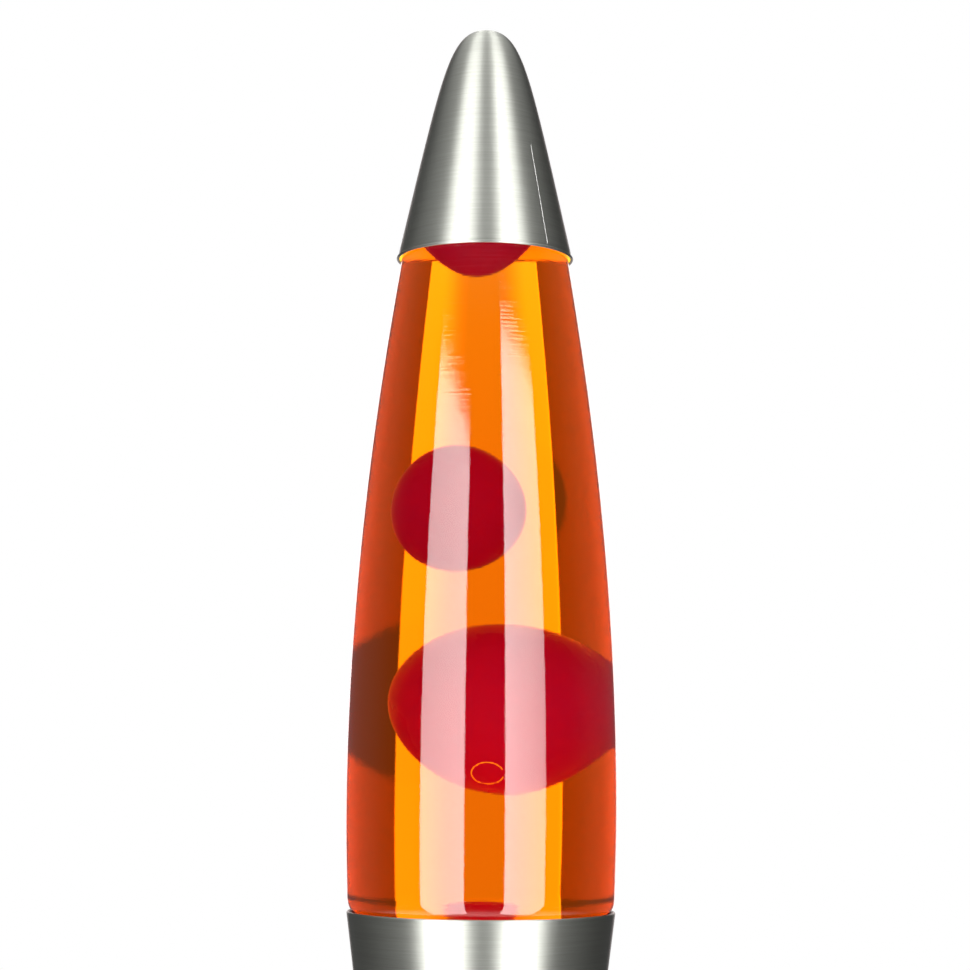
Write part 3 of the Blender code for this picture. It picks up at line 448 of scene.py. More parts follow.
class Graph:
    """A short way to write the nodes of a material, or of the world."""

    def __init__(self, name, world=None):
        self.material = world or bpy.data.materials.new(name)
        self.material.use_nodes = True
        self.tree = self.material.node_tree
        self.shader = self.tree.nodes["Background" if world else "Principled BSDF"]

    def add(self, kind, **settings):
        node = self.tree.nodes.new(kind)
        for key, value in settings.items():
            setattr(node, key, value)
        return node

    def link(self, source, target):
        self.tree.links.new(source, target)

    def set(self, **values):
        """Give the shader's sockets plain values, or link them to other sockets."""
        for key, value in values.items():
            socket = self.shader.inputs[key.replace("_", " ")]
            if isinstance(value, bpy.types.NodeSocket):
                self.link(value, socket)
            else:
                socket.default_value = value

    def surface(self, output):
        self.link(output, self.tree.nodes["Material Output"].inputs["Surface"])

    def shine(self, strength, colour=(1.0, 1.0, 1.0)):
        """Make the whole surface a light."""
        emission = self.add("ShaderNodeEmission")
        emission.inputs["Color"].default_value = (*colour, 1.0)
        self.link(strength, emission.inputs["Strength"])
        self.surface(emission.outputs[0])

    def noise(self, scale, stretch=(1, 1, 1), detail=3.0, roughness=0.5):
        """Noise in object coordinates, stretched per axis."""
        coordinates = self.add("ShaderNodeTexCoord")
        mapping = self.add("ShaderNodeMapping")
        mapping.inputs["Scale"].default_value = stretch
        self.link(coordinates.outputs["Object"], mapping.inputs["Vector"])
        node = self.add("ShaderNodeTexNoise")
        node.inputs["Scale"].default_value = scale
        node.inputs["Detail"].default_value = detail
        node.inputs["Roughness"].default_value = roughness
        self.link(mapping.outputs["Vector"], node.inputs["Vector"])
        return node.outputs["Fac"]

    def spread(self, value, low, high, from_low=0.3, from_high=0.7, kind="LINEAR"):
        """Map a range, as it stands the useful range of a noise, onto another."""
        node = self.add("ShaderNodeMapRange", interpolation_type=kind)
        numbers = {"From Min": from_low, "From Max": from_high, "To Min": low, "To Max": high}
        for label, number in numbers.items():
            node.inputs[label].default_value = number
        self.link(value, node.inputs["Value"])
        return node.outputs["Result"]

    def math(self, operation, *values):
        node = self.add("ShaderNodeMath", operation=operation)
        for socket, value in zip(node.inputs, values):
            if isinstance(value, (int, float)):
                socket.default_value = value
            else:
                self.link(value, socket)
        return node.outputs["Value"]

    def tint(self, factor, first, second):
        """Mix two colours by a factor."""
        node = self.add("ShaderNodeMix", data_type="RGBA")
        for socket, colour in zip((node.inputs[6], node.inputs[7]), (first, second)):
            if isinstance(colour, tuple):
                socket.default_value = (*colour, 1.0)
            else:
                self.link(colour, socket)
        self.link(factor, node.inputs[0])
        return node.outputs[2]

    def bump(self, height, distance, strength=1.0):
        node = self.add("ShaderNodeBump")
        node.inputs["Distance"].default_value = distance
        node.inputs["Strength"].default_value = strength
        self.link(height, node.inputs["Height"])
        return node.outputs["Normal"]

    def place(self, kind="Object"):
        """Object coordinates, or in the world its directions, as three separate values."""
        coordinates = self.add("ShaderNodeTexCoord")
        split = self.add("ShaderNodeSeparateXYZ")
        self.link(coordinates.outputs[kind], split.inputs[0])
        return split.outputs


def spun_aluminium(name, scored_with_painted_glint=False):
    """Aluminium brushed while it spins: hair lines run round the axis, and highlights spread up and down."""
    g = Graph(name)
    hair = g.noise(1.0, (60, 60, 6500), 4.0, 0.7)
    band = g.noise(1.0, (20, 20, 1500), 3.0, 0.6)
    lines = g.math("ADD", g.math("MULTIPLY", hair, 0.6), g.math("MULTIPLY", band, 0.4))
    colour = g.tint(g.spread(lines, 0.0, 1.0, 0.35, 0.65), (0.28, 0.285, 0.258), (0.36, 0.365, 0.336))
    smudge = g.noise(24.0, (1, 1, 1), 4.0, 0.6)
    rough = g.math("ADD", g.spread(lines, -0.04, 0.04, 0.35, 0.65), g.spread(smudge, 0.46, 0.53))
    metallic = 1.0
    # The score line is real wear; its whiter, less metallic colour is a painted glint that shows under any
    # light.
    if scored_with_painted_glint:
        x, y, z = g.place()
        along_x = g.math("MULTIPLY", x, cos(SCORE_BEARING))
        along_y = g.math("MULTIPLY", y, sin(SCORE_BEARING))
        away = g.math("ADD", along_x, along_y)
        near = g.math("LESS_THAN", g.math("ABSOLUTE", away), SCORE_WIDTH)
        front = g.math("GREATER_THAN", x, 0.0)
        above = g.math("GREATER_THAN", z, SCORE_LOW_Z)
        below = g.math("LESS_THAN", z, SCORE_HIGH_Z)
        score_and_painted_glint_mark = g.math("MULTIPLY", g.math("MULTIPLY", near, front), g.math("MULTIPLY", above, below))
        colour = g.tint(score_and_painted_glint_mark, colour, (0.62, 0.62, 0.6))
        metallic = g.math("SUBTRACT", 1.0, g.math("MULTIPLY", score_and_painted_glint_mark, 0.9))
    tangent = g.add("ShaderNodeTangent", direction_type="RADIAL", axis="Z")
    g.set(Base_Color=colour, Roughness=rough, Metallic=metallic, Anisotropic=0.9, Anisotropic_Rotation=0.25,
          Tangent=tangent.outputs["Tangent"], Normal=g.bump(lines, 0.00002, 0.6))
    return g.material


def satin_aluminium(name):
    """The cap's inside: pale, soft and not brushed, with a painted glow near the rim that stands in for light
    from the liquid.
    """
    g = Graph(name)
    cloud = g.noise(90.0, (1, 1, 2), 4.0, 0.6)
    colour = g.tint(g.spread(cloud, 0.0, 1.0), (0.78, 0.78, 0.75), (0.9, 0.9, 0.87))
    # Painted glow: emission on the cap's inside near the rim, standing in for light from the liquid.
    glow = g.spread(g.place()["Z"], 1.1, 0.0, CAP_PAINTED_GLOW_LOW_Z, CAP_PAINTED_GLOW_HIGH_Z)
    g.set(Base_Color=colour, Roughness=g.spread(cloud, 0.48, 0.6), Metallic=0.25,
          Emission_Color=(1.0, 0.75, 0.03, 1.0), Emission_Strength=glow)
    return g.material


def clear_glass(name, ior, tint=(1.0, 1.0, 1.0)):
    """Blown glass with the faint ripple that it keeps round its axis."""
    g = Graph(name)
    ripple = g.noise(1.0, (30, 30, 1600), 3.0, 0.6)
    sag = g.noise(24.0, (1, 1, 0.5), 2.0, 0.4)
    height = g.math("ADD", g.math("MULTIPLY", ripple, 0.16), sag)
    g.set(Base_Color=(*tint, 1.0), Roughness=0.0, IOR=ior, Transmission_Weight=1.0,
          Normal=g.bump(height, 0.00045, 0.26))
    return g.material


def orange_liquid():
    """The dyed filling. Light goes straight through its surface, and its depth takes out green and blue. Its
    surface has a faint painted red glow.
    """
    g = Graph("lamp_orange_liquid")
    # The emission is a painted red glow; the liquid is no lamp.
    g.set(Base_Color=(1.0, 0.37, 0.02, 1.0), Roughness=0.0, IOR=1.0, Transmission_Weight=1.0,
          Emission_Color=(1.0, 0.0, 0.0, 1.0), Emission_Strength=0.03)
    absorb = g.add("ShaderNodeVolumeAbsorption")
    absorb.inputs["Color"].default_value = (0.998, 0.848, 0.0, 1.0)
    absorb.inputs["Density"].default_value = 50.0
    g.link(absorb.outputs["Volume"], g.tree.nodes["Material Output"].inputs["Volume"])
    return g.material


def red_wax():
    """Soft wax: a deep crimson that takes light a little way in. Low down it is painted lighter and pinker,
    as if lit from beneath, and all over it has a painted magenta glow.
    """
    g = Graph("lamp_red_wax")
    cloud = g.noise(45.0, (1, 1, 1), 3.0, 0.55)
    plain = g.tint(g.spread(cloud, 0.0, 1.0), (0.12, 0.0006, 0.04), (0.15, 0.001, 0.05))
    # Painted light from beneath: the colour turns lighter and pinker towards the bottom.
    low = g.spread(g.place()["Z"], 1.0, 0.0, PAINTED_UNDERLIGHT_LOW_Z, PAINTED_UNDERLIGHT_HIGH_Z)
    g.set(Base_Color=g.tint(low, plain, (0.3, 0.006, 0.28)), Roughness=g.spread(cloud, 0.24, 0.34),
          IOR=1.07, Subsurface_Weight=0.3, Subsurface_Scale=0.005, Subsurface_Radius=(1.0, 0.08, 0.06),
          # The emission is a painted magenta glow; the wax is no lamp.
          Emission_Color=(1.0, 0.0, 0.8, 1.0), Emission_Strength=0.19,
          Normal=g.bump(cloud, 0.0002, 0.3))
    return g.material


def plain_metal(name, colour, roughness, grain=900.0):
    """Any metal that isn't brushed, with a fine grain and darker stains."""
    g = Graph(name)
    fine = g.noise(grain, (1, 1, 1), 3.0, 0.6)
    stain = g.noise(120.0, (1, 1, 1), 4.0, 0.6)
    dark = tuple(channel * 0.8 for channel in colour)
    g.set(Base_Color=g.tint(g.spread(stain, 0.0, 1.0), dark, colour), Metallic=1.0,
          Roughness=g.spread(fine, roughness - 0.07, roughness + 0.07), Normal=g.bump(fine, 0.00003, 0.4))
    return g.material


def moulded(name, colour, roughness, grain=1400.0, relief=0.00004, glow=None):
    """Anything cast or painted: rubber, plastic, enamel. It may have a faint painted glow of a given colour,
    though it is no lamp.
    """
    g = Graph(name)
    fine = g.noise(grain, (1, 1, 1), 2.0, 0.5)
    wear = g.noise(60.0, (1, 1, 1), 4.0, 0.6)
    light = tuple(min(1.0, channel * 1.35 + 0.004) for channel in colour)
    g.set(Base_Color=g.tint(g.spread(wear, 0.0, 1.0), colour, light), Normal=g.bump(fine, relief, 0.5),
          Roughness=g.spread(wear, roughness - 0.07, roughness + 0.07))
    # A painted glow: emission on a part that is no lamp.
    if glow:
        g.set(Emission_Color=(*glow, 1.0), Emission_Strength=0.7)
    return g.material


def frosted_glass(name, frost, tint):
    g = Graph(name)
    speckle = g.noise(700.0, (1, 1, 1), 3.0, 0.6)
    g.set(Base_Color=g.tint(g.spread(speckle, 0.0, 1.0), tint, (1.0, 1.0, 1.0)), IOR=1.5,
          Roughness=g.spread(speckle, frost * 0.8, frost * 1.2), Transmission_Weight=1.0)
    return g.material


ALUMINIUM = spun_aluminium("lamp_spun_aluminium")
CAP_ALUMINIUM = spun_aluminium("lamp_spun_aluminium_cap", True)
CAP_INSIDE = satin_aluminium("lamp_satin_aluminium")
GLASS_TO_AIR = clear_glass("lamp_bottle_glass", GLASS_IOR, (0.985, 0.98, 0.965))
GLASS_TO_LIQUID = clear_glass("lamp_bottle_glass_wet", GLASS_IOR / LIQUID_IOR)
LIQUID = orange_liquid()
WAX = red_wax()
# The fold's gold colour and glow are a painted glint on the wax.
WAX_FOLD_PAINTED_GLINT = moulded("lamp_wax_fold_painted_glint", (0.75, 0.28, 0.04), 0.35, glow=(1.0, 0.62, 0.1))
CROWN_STEEL = plain_metal("lamp_crown_steel", (0.64, 0.58, 0.44), 0.3)
LINER = moulded("lamp_crown_liner", (0.82, 0.8, 0.74), 0.6)
COIL_STEEL = plain_metal("lamp_coil_steel", (0.55, 0.55, 0.56), 0.32)
SEAT_PLASTIC = moulded("lamp_seat_plastic", (0.035, 0.035, 0.036), 0.45)
COVER_PAINT = moulded("lamp_cover_paint", (0.022, 0.022, 0.023), 0.62, 2600.0, 0.00008)
RUBBER = moulded("lamp_black_rubber", (0.02, 0.02, 0.02), 0.72, 1800.0, 0.00006)
ZINC = plain_metal("lamp_zinc_plate", (0.63, 0.62, 0.57), 0.38, 500.0)
PHENOLIC = moulded("lamp_phenolic", (0.03, 0.025, 0.021), 0.3, 900.0, 0.00003)
BRASS = plain_metal("lamp_holder_brass", (0.8, 0.6, 0.28), 0.28)
BULB_MIRROR = plain_metal("lamp_bulb_mirror", (0.9, 0.9, 0.89), 0.14, 300.0)
BULB_FRONT = frosted_glass("lamp_bulb_front", 0.28, (0.93, 0.93, 0.92))
BULB_CLEAR = frosted_glass("lamp_bulb_clear", 0.04, (0.97, 0.98, 0.97))
NICKEL = plain_metal("lamp_bulb_nickel", (0.76, 0.74, 0.68), 0.24)
VITRITE = moulded("lamp_bulb_vitrite", (0.012, 0.012, 0.02), 0.16)
TUNGSTEN = plain_metal("lamp_bulb_tungsten", (0.38, 0.38, 0.39), 0.45)
SOLDER = plain_metal("lamp_bulb_solder", (0.66, 0.66, 0.67), 0.34, 400.0)
SCREW_STEEL = plain_metal("lamp_screw_steel", (0.4, 0.4, 0.39), 0.42)


# ---- cap


def make_cap():
    side = bezier(
        (CAP_RIM_RADIUS, CAP_RIM_Z),
        (CAP_RIM_RADIUS - CAP_SIDE_PULL * sin(CAP_ANGLE), CAP_RIM_Z + CAP_SIDE_PULL * cos(CAP_ANGLE)),
        (CAP_TOP_PULL, CAP_TOP_Z), (0.0, CAP_TOP_Z),
        72,
    )
    above_bead = CAP_RIM_Z + 2.4 * CAP_BEAD
    outside = [point for point in reversed(side) if point[1] > above_bead]
    inside = [(max(r, 0.0), z) for r, z in offset(outside, -CAP_SHEET)]
    inside[0] = (0.0, CAP_TOP_Z - CAP_SHEET)
    bead_centre = (CAP_RIM_RADIUS - 0.5 * CAP_BEAD, CAP_RIM_Z + CAP_BEAD)
    bead = ellipse(bead_centre, CAP_BEAD, CAP_BEAD, radians(75), -radians(215), 18)
    neck = [(CAP_RIM_RADIUS - 0.0003, CAP_RIM_Z + 2.05 * CAP_BEAD)]
    outline = outside + neck + bead + list(reversed(inside))
    form = turned_mesh(outline, FINE_STEPS)
    for face in form.faces:
        centre = face.calc_center_median()
        outwards = face.normal.dot(Vector((centre.x, centre.y, 0.004)))
        if outwards < 0 and centre.z > above_bead:
            face.material_index = 1
    show("spun_cap", form, [CAP_ALUMINIUM, CAP_INSIDE], "cap", ["top_cap"])


# ---- bottle


def bottle_side(count):
    return bezier(
        (BOTTLE_MAX_RADIUS, BOTTLE_MAX_Z), (BOTTLE_MAX_RADIUS, BOTTLE_MAX_Z + BOTTLE_LOWER_PULL),
        (
            BOTTLE_AT_CAP_RADIUS + BOTTLE_UPPER_PULL * sin(BOTTLE_AT_CAP_ANGLE),
            CAP_RIM_Z - BOTTLE_UPPER_PULL * cos(BOTTLE_AT_CAP_ANGLE),
        ),
        (BOTTLE_AT_CAP_RADIUS, CAP_RIM_Z),
        count,
    )


def lower_side(count):
    """The slightly swelling side between the heel and the widest place, without its ends."""
    swell = bezier(
        (HEEL_RADIUS, HEEL_Z), (HEEL_RADIUS + 0.0002, HEEL_Z + 0.008),
        (BOTTLE_MAX_RADIUS, BOTTLE_MAX_Z - 0.012), (BOTTLE_MAX_RADIUS, BOTTLE_MAX_Z),
        count,
    )
    return swell[1:-1]


def shoulder_curve(wall):
    start = (BOTTLE_AT_CAP_RADIUS - wall, CAP_RIM_Z)
    return bezier(
        start,
        (start[0] - 0.0026, start[1] + 0.015), (SHOULDER_RADIUS - wall + 0.0009, SHOULDER_Z - 0.004),
        (SHOULDER_RADIUS - wall, SHOULDER_Z),
        12,
    )[1:]


def inner_outline():
    """The bottle's inside from the middle of its floor up to the shoulder."""
    floor_edge = BOTTLE_LOW.z + FLOOR_THICKNESS
    heel_centre = (HEEL_RADIUS - HEEL_WIDTH, HEEL_Z)
    floor = bezier(
        (0.0, floor_edge + PUNT_HEIGHT), (0.012, floor_edge + PUNT_HEIGHT), (0.018, floor_edge),
        (heel_centre[0], floor_edge),
        16,
    )
    heel = ellipse(heel_centre, HEEL_WIDTH - GLASS_WALL, HEEL_Z - floor_edge, -pi / 2, 0.0, 16)
    side = [(r - GLASS_WALL, z) for r, z in lower_side(12) + bottle_side(72)]
    return floor[:-1] + heel + side + shoulder_curve(GLASS_WALL)


def outer_outline():
    heel_centre = (HEEL_RADIUS - HEEL_WIDTH, HEEL_Z)
    floor = bezier(
        (0.0, BOTTLE_LOW.z + PUNT_HEIGHT), (0.015, BOTTLE_LOW.z + PUNT_HEIGHT), (0.0205, BOTTLE_LOW.z),
        (heel_centre[0], BOTTLE_LOW.z),
        16,
    )
    heel = ellipse(heel_centre, HEEL_WIDTH, HEEL_HEIGHT, -pi / 2, 0.0, 32)
    neck = bezier(
        (SHOULDER_RADIUS, SHOULDER_Z), (SHOULDER_RADIUS - 0.0022, SHOULDER_Z + 0.0062),
        (NECK_RADIUS, NECK_Z - 0.003), (NECK_RADIUS, NECK_Z),
        14,
    )
    return floor[:-1] + heel + lower_side(12) + bottle_side(72) + shoulder_curve(0.0) + neck[1:]


def make_bottle():
    lip = 0.0008
    top = BOTTLE_HIGH.z
    bore = NECK_RADIUS - GLASS_WALL
    outside = outer_outline() + ellipse((NECK_RADIUS - lip, top - lip), lip, lip, 0.0, pi / 2, 6)
    inside = ellipse((bore + lip, top - lip), lip, lip, pi / 2, pi, 6)
    inside += bezier(
        (bore, NECK_Z + 0.001), (bore, NECK_Z - 0.003),
        (SHOULDER_RADIUS - GLASS_WALL - 0.0024, SHOULDER_Z + 0.006),
        (SHOULDER_RADIUS - GLASS_WALL, SHOULDER_Z),
        14,
    )
    inside += list(reversed(inner_outline()))[1:]
    form = turned_mesh(outside + inside, FINE_STEPS)
    for face in form.faces:
        centre = face.calc_center_median()
        facing_axis = face.normal.x * centre.x + face.normal.y * centre.y < 0
        facing_up = face.normal.z > 0 and centre.z < HEEL_Z
        if centre.z < LIQUID_HIGH.z and (facing_axis or facing_up) and not face.normal.z < -0.5:
            face.material_index = 1
    materials = [GLASS_TO_AIR, GLASS_TO_LIQUID]
    show("blown_bottle", form, materials, "bottle", ["glass_bottle"], radians(60))


def make_liquid():
    wall = offset(list(reversed(inner_outline())), -SKIN)
    wall = [(max(r, 0.0), z) for r, z in wall]
    wall[-1] = (0.0, wall[-1][1])
    top_radius = SHOULDER_RADIUS - GLASS_WALL - 0.0014
    level = LIQUID_HIGH.z
    surface = [(0.0, level), (top_radius - 0.0008, level), (top_radius - 0.0002, level + 0.0003)]
    form = turned_mesh(surface + wall, FINE_STEPS)
    show("dyed_liquid", form, [LIQUID], "bottle", ["liquid"], radians(60))


def make_crown():
    high = CROWN_HIGH.z
    sheet = 0.0003
    top = [(0.0, high - 0.0001), (NECK_RADIUS - 0.0034, high - 0.0001), (NECK_RADIUS - 0.0026, high)]
    shoulder = bezier(
        (NECK_RADIUS - 0.0014, high), (NECK_RADIUS, high), (NECK_RADIUS + 0.0004, high - 0.0004),
        (NECK_RADIUS + 0.0005, high - 0.0012),
        8,
    )
    skirt = bezier(
        shoulder[-1], (NECK_RADIUS + 0.0006, high - 0.003), (CROWN_HIGH.x - 0.0004, CROWN_LOW.z + 0.0016),
        (CROWN_HIGH.x, CROWN_LOW.z),
        14,
    )[1:]
    outside = top + shoulder + skirt
    inside = [(max(r, 0.0), z) for r, z in offset(outside, -sheet)]
    inside[0] = (0.0, high - 0.0001 - sheet)
    inside[-1] = (inside[-1][0], CROWN_LOW.z)
    form = turned_mesh(outside + list(reversed(inside)), CRIMPS * 12)
    for vert in form.verts:
        drop = (high - 0.0012 - vert.co.z) / (high - 0.0012 - CROWN_LOW.z)
        if drop > 0:
            wave = cos(CRIMPS * atan2(vert.co.y, vert.co.x))
            vert.co.xy *= 1 - 0.00042 * drop * (1 - wave) / hypot(vert.co.x, vert.co.y)
    show("crimped_crown", form, [CROWN_STEEL], "bottle", ["crown_cap"])
    edge = LINER_HIGH.x
    disc = [(0.0, LINER_LOW.z), (edge, LINER_LOW.z), (edge, LINER_HIGH.z), (0.0, LINER_HIGH.z)]
    show_eased("crown_liner", disc, 0.0002, 4, MEDIUM_STEPS, LINER, "bottle", "crown_cap_liner")


# ---- wax


def lower_wax_shape(direction):
    """Like a turnip: fullest above its middle, and lean at the lower right."""
    x, y, z = direction
    lean = 0.16 * x * -z if x > 0 and z < 0 else 0.0
    grow = 1 + 0.04 * z
    across = 0.93 * x if x < 0 else x
    return Vector((across * grow - 0.03 * z - lean, y * grow, z))


def middle_wax_shape(direction):
    """Nearly round, a little fuller at the lower left."""
    x, y, z = direction
    grow = 1 - 0.03 * z
    hollow = 0.02 * z * z if x > 0 else 0.0
    return Vector((x * grow - hollow, y * grow, z * (1 - 0.02 * x)))


def upper_wax_shape(direction):
    """Like an acorn with its point down."""
    x, y, z = direction
    across = hypot(x, y)
    if z >= 0 or across < 1e-6:
        return Vector(direction)
    lean = (1 + z) ** 0.5 / across
    return Vector((x * lean, y * lean, z))


def make_wax(name, node, body, shape):
    """A floating mass of wax, shaped by a function of the direction from its middle."""
    low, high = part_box(node)
    middle = (low + high) / 2
    half = (high - low) / 2
    form = bmesh.new()
    bmesh.ops.create_icosphere(form, subdivisions=6, radius=1.0)
    for vert in form.verts:
        place = shape(vert.co.normalized())
        vert.co = middle + Vector((place.x * half.x, place.y * half.y, place.z * half.z))
    show(name, form, [WAX], body, [node], radians(80))


def make_fold():
    """A fine raised fold, nearly a ring, low on the front of the lowest wax, coloured gold with a painted
    glint.
    """
    low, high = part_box("wax_blob_lower")
    middle = (low + high) / 2
    half = (high - low) / 2
    path = []
    for step in range(73):
        angle = radians(20 + 320 * step / 72)
        x = -0.165 + 0.165 * cos(angle)
        z = -0.745 + 0.125 * sin(angle)
        place = lower_wax_shape((x, -((1 - x * x - z * z) ** 0.5), z))
        path.append(middle + Vector((place.x * half.x, place.y * half.y - 0.00005, place.z * half.z)))
    show("wax_fold", tube_mesh(path, 0.00011, 8), [WAX_FOLD_PAINTED_GLINT], "wax_lower", [])


def make_pool():
    low = POOL_LOW.z
    coil_reach = (COIL_HIGH.z - COIL_LOW.z) / 2
    coil_middle = COIL_HIGH.x - coil_reach
    reach = coil_reach + GAP
    groove_top = low + 2 * reach + GAP
    groove = [
        (0.0, low), (coil_middle - reach, low), (coil_middle - reach, groove_top - 0.0005),
        (coil_middle - reach + 0.0005, groove_top), (coil_middle + reach - 0.0005, groove_top),
        (coil_middle + reach, groove_top - 0.0005), (coil_middle + reach, low),
    ]
    dome = ellipse((0.0, low + 0.0004), POOL_HIGH.x, POOL_HIGH.z - low - 0.0004, 0.0, pi / 2, 24)
    dome[-1] = (0.0, POOL_HIGH.z)
    outline = groove + [(POOL_HIGH.x - 0.0004, low)] + dome
    show("settled_wax", turned_mesh(outline, MEDIUM_STEPS), [WAX], "bottle", ["wax_pool"])


def make_coil():
    """A close-wound spring whose ends meet in a ring."""
    middle_z = (COIL_LOW.z + COIL_HIGH.z) / 2
    reach = (COIL_HIGH.z - COIL_LOW.z) / 2
    ring = COIL_HIGH.x - reach
    wire = 0.00022
    turns = 44
    steps = 14
    path = []
    for step in range(turns * steps):
        around = 2 * pi * step / (turns * steps)
        wind = 2 * pi * step / steps
        r = ring + (reach - wire) * cos(wind)
        path.append((r * cos(around), r * sin(around), middle_z + (reach - wire) * sin(wind)))
    show("wire_coil", tube_mesh(path, wire, 8, True), [COIL_STEEL], "bottle", ["wax_coil"])


# ---- base


def grommet_place():
    middle = FOOT_RADIUS - (GROMMET_Z - FOOT_EDGE_Z) * tan(FLARE_ANGLE) - SHEET / 2
    return Matrix.Translation((0.0, middle, GROMMET_Z)) @ Matrix.Rotation(FLARE_ANGLE - pi / 2, 4, "X")


def cover_screw_place(index):
    angle = pi / 2 + index * 2 * pi / 3 + pi / 3
    return COVER_SCREW_RADIUS * cos(angle), COVER_SCREW_RADIUS * sin(angle)


def foot_place(index):
    angle = pi / 4 + index * pi / 2
    return FOOT_PITCH_RADIUS * cos(angle), FOOT_PITCH_RADIUS * sin(angle)


def make_base():
    rim = (RIM_RADIUS, RIM_Z)
    waist = (base_radius(WAIST_Z), WAIST_Z)
    foot = (FOOT_RADIUS, FOOT_EDGE_Z)
    across = SHEET / cos(CONE_ANGLE)
    lean = SHEET / cos(FLARE_ANGLE)
    edge = SHEET / 2
    rim_start = (base_radius(RIM_Z - edge), RIM_Z - edge)
    waist_curve = fillet(rim, waist, foot, WAIST_FILLET, 28)
    bead = 0.0008
    foot_start = (FOOT_RADIUS - bead * tan(FLARE_ANGLE) - 0.0001, FOOT_EDGE_Z + bead)
    outside = [rim_start, (base_radius(RIM_Z - 2 * edge), RIM_Z - 2 * edge)]
    outside += run((base_radius(RIM_Z - 4 * edge), RIM_Z - 4 * edge), waist_curve[0], 16) + waist_curve[:-1]
    outside += run(waist_curve[-1], foot_start, 14)
    rolled = ellipse((FOOT_RADIUS - bead, FOOT_EDGE_Z + bead), bead, bead, radians(12), -pi / 2, 10)
    hem_x = FOOT_RADIUS - 0.0024
    hem = [
        (hem_x + 0.0003, FOOT_EDGE_Z), (hem_x, FOOT_EDGE_Z + 0.0003), (hem_x, FLANGE_Z - 0.0006),
        (hem_x - 0.0002, FLANGE_Z - 0.0002), (hem_x - 0.0006, FLANGE_Z),
        (FLANGE_INNER + 0.0003, FLANGE_Z), (FLANGE_INNER, FLANGE_Z + 0.0003),
        (FLANGE_INNER, FLANGE_Z + SHEET - 0.0003), (FLANGE_INNER + 0.0003, FLANGE_Z + SHEET),
    ]
    inner_foot_z = FLANGE_Z + SHEET
    inner_foot = (FOOT_RADIUS - (inner_foot_z - FOOT_EDGE_Z) * tan(FLARE_ANGLE) - lean, inner_foot_z)
    inner_waist = (base_radius(WAIST_Z) - across * 1.12, WAIST_Z)
    inner_rim = (rim_start[0] - across, RIM_Z - edge)
    inner_curve = fillet(inner_rim, inner_waist, inner_foot, WAIST_FILLET + SHEET, 28)
    under_rim = (inner_rim[0] - edge * tan(CONE_ANGLE), RIM_Z - 2 * edge)
    inside = [inner_foot, *reversed(inner_curve), under_rim, inner_rim]
    top = ellipse((rim_start[0] - across / 2, RIM_Z - edge), across / 2, edge, pi, 0.0, 12)[1:-1]
    form = turned_mesh(outside + rolled + hem + inside + top, FINE_STEPS)
    inlet = round_cutter(GROMMET_NECK + GAP, 0.0, 0.0, -0.006, 0.006, 64)
    bmesh.ops.transform(inlet, matrix=grommet_place(), verts=inlet.verts[:])
    cutters = [inlet]
    for index in range(COVER_SCREW_COUNT):
        cutters.append(round_cutter(SCREW_CLEARANCE, *cover_screw_place(index), 0.0045, 0.0095))
    form = carved("base", form, cutters)
    show("spun_base", form, [ALUMINIUM], "base", ["base_shell"])


def make_grommet():
    outer_face = SHEET / 2 + GAP
    inner_face = -SHEET / 2 - GAP - GROMMET_FLANGE * tan(pi / 24)
    corners = [
        (GROMMET_BORE, inner_face - GROMMET_LIP), (GROMMET_FLANGE - 0.0004, inner_face - GROMMET_LIP),
        (GROMMET_FLANGE, inner_face - GROMMET_LIP * 0.6), (GROMMET_FLANGE, inner_face),
        (GROMMET_NECK, inner_face), (GROMMET_NECK, outer_face), (GROMMET_FLANGE, outer_face),
        (GROMMET_FLANGE, outer_face + GROMMET_LIP * 0.6),
        (GROMMET_FLANGE - 0.0006, outer_face + GROMMET_LIP), (GROMMET_BORE, outer_face + GROMMET_LIP),
    ]
    form = turned_mesh(eased(corners, 0.00035, 4), MEDIUM_STEPS)
    place = grommet_place()
    show("inlet_grommet", form, [RUBBER], "base", ["cord_grommet"], matrix=place)


def make_seat():
    slack = SHEET / cos(CONE_ANGLE) + 2 * GAP
    top = SEAT_HIGH.z
    low = SEAT_LOW.z
    corners = [
        (SEAT_INNER, top), (base_radius(top) - slack, top), (base_radius(low) - slack, low),
        (base_radius(low) - slack - SEAT_SKIRT, low),
        (base_radius(top - SEAT_LEDGE) - slack - SEAT_SKIRT, top - SEAT_LEDGE),
        (SEAT_INNER, top - SEAT_LEDGE),
    ]
    show_eased("seat_ring", corners, 0.0004, 4, FINE_STEPS, SEAT_PLASTIC,
               "base", "bottle_seat_ring")


def make_cover():
    low = COVER_LOW.z
    high = COVER_HIGH.z
    radius = COVER_HIGH.x
    corners = [
        (0.0, low + 0.0004), (0.012, low + 0.0004), (0.0126, low), (0.0134, low), (radius - 0.001, low),
        (radius, low), (radius, high), (radius - 0.001, high), (0.0, high),
    ]
    form = turned_mesh(eased(corners, 0.0003, 4), FINE_STEPS)
    half_step = Matrix.Rotation(pi / FINE_STEPS, 4, "Z")
    bmesh.ops.transform(form, matrix=half_step, verts=form.verts[:])
    under = low - SHEET
    over = high + SHEET
    cutters = []
    for index in range(COVER_SCREW_COUNT):
        cutters.append(round_cutter(SCREW_CLEARANCE, *cover_screw_place(index), under, over))
    for index in range(FOOT_COUNT):
        cutters.append(round_cutter(FOOT_STEM_RADIUS + GAP, *foot_place(index), under, over))
    for side in (-1, 1):
        cutters.append(round_cutter(SCREW_CLEARANCE, side * BRACKET_SCREW_X, 0.0, under, over))
    for index in range(VENT_COUNT):
        turn = pi / VENT_COUNT + index * 2 * pi / VENT_COUNT
        cutters.append(slot_cutter(VENT_LENGTH, VENT_WIDTH, under, over, VENT_PITCH_RADIUS, turn))
    form = carved("cover", form, cutters)
    show("vented_cover", form, [COVER_PAINT], "base", ["bottom_cover"], radians(15))


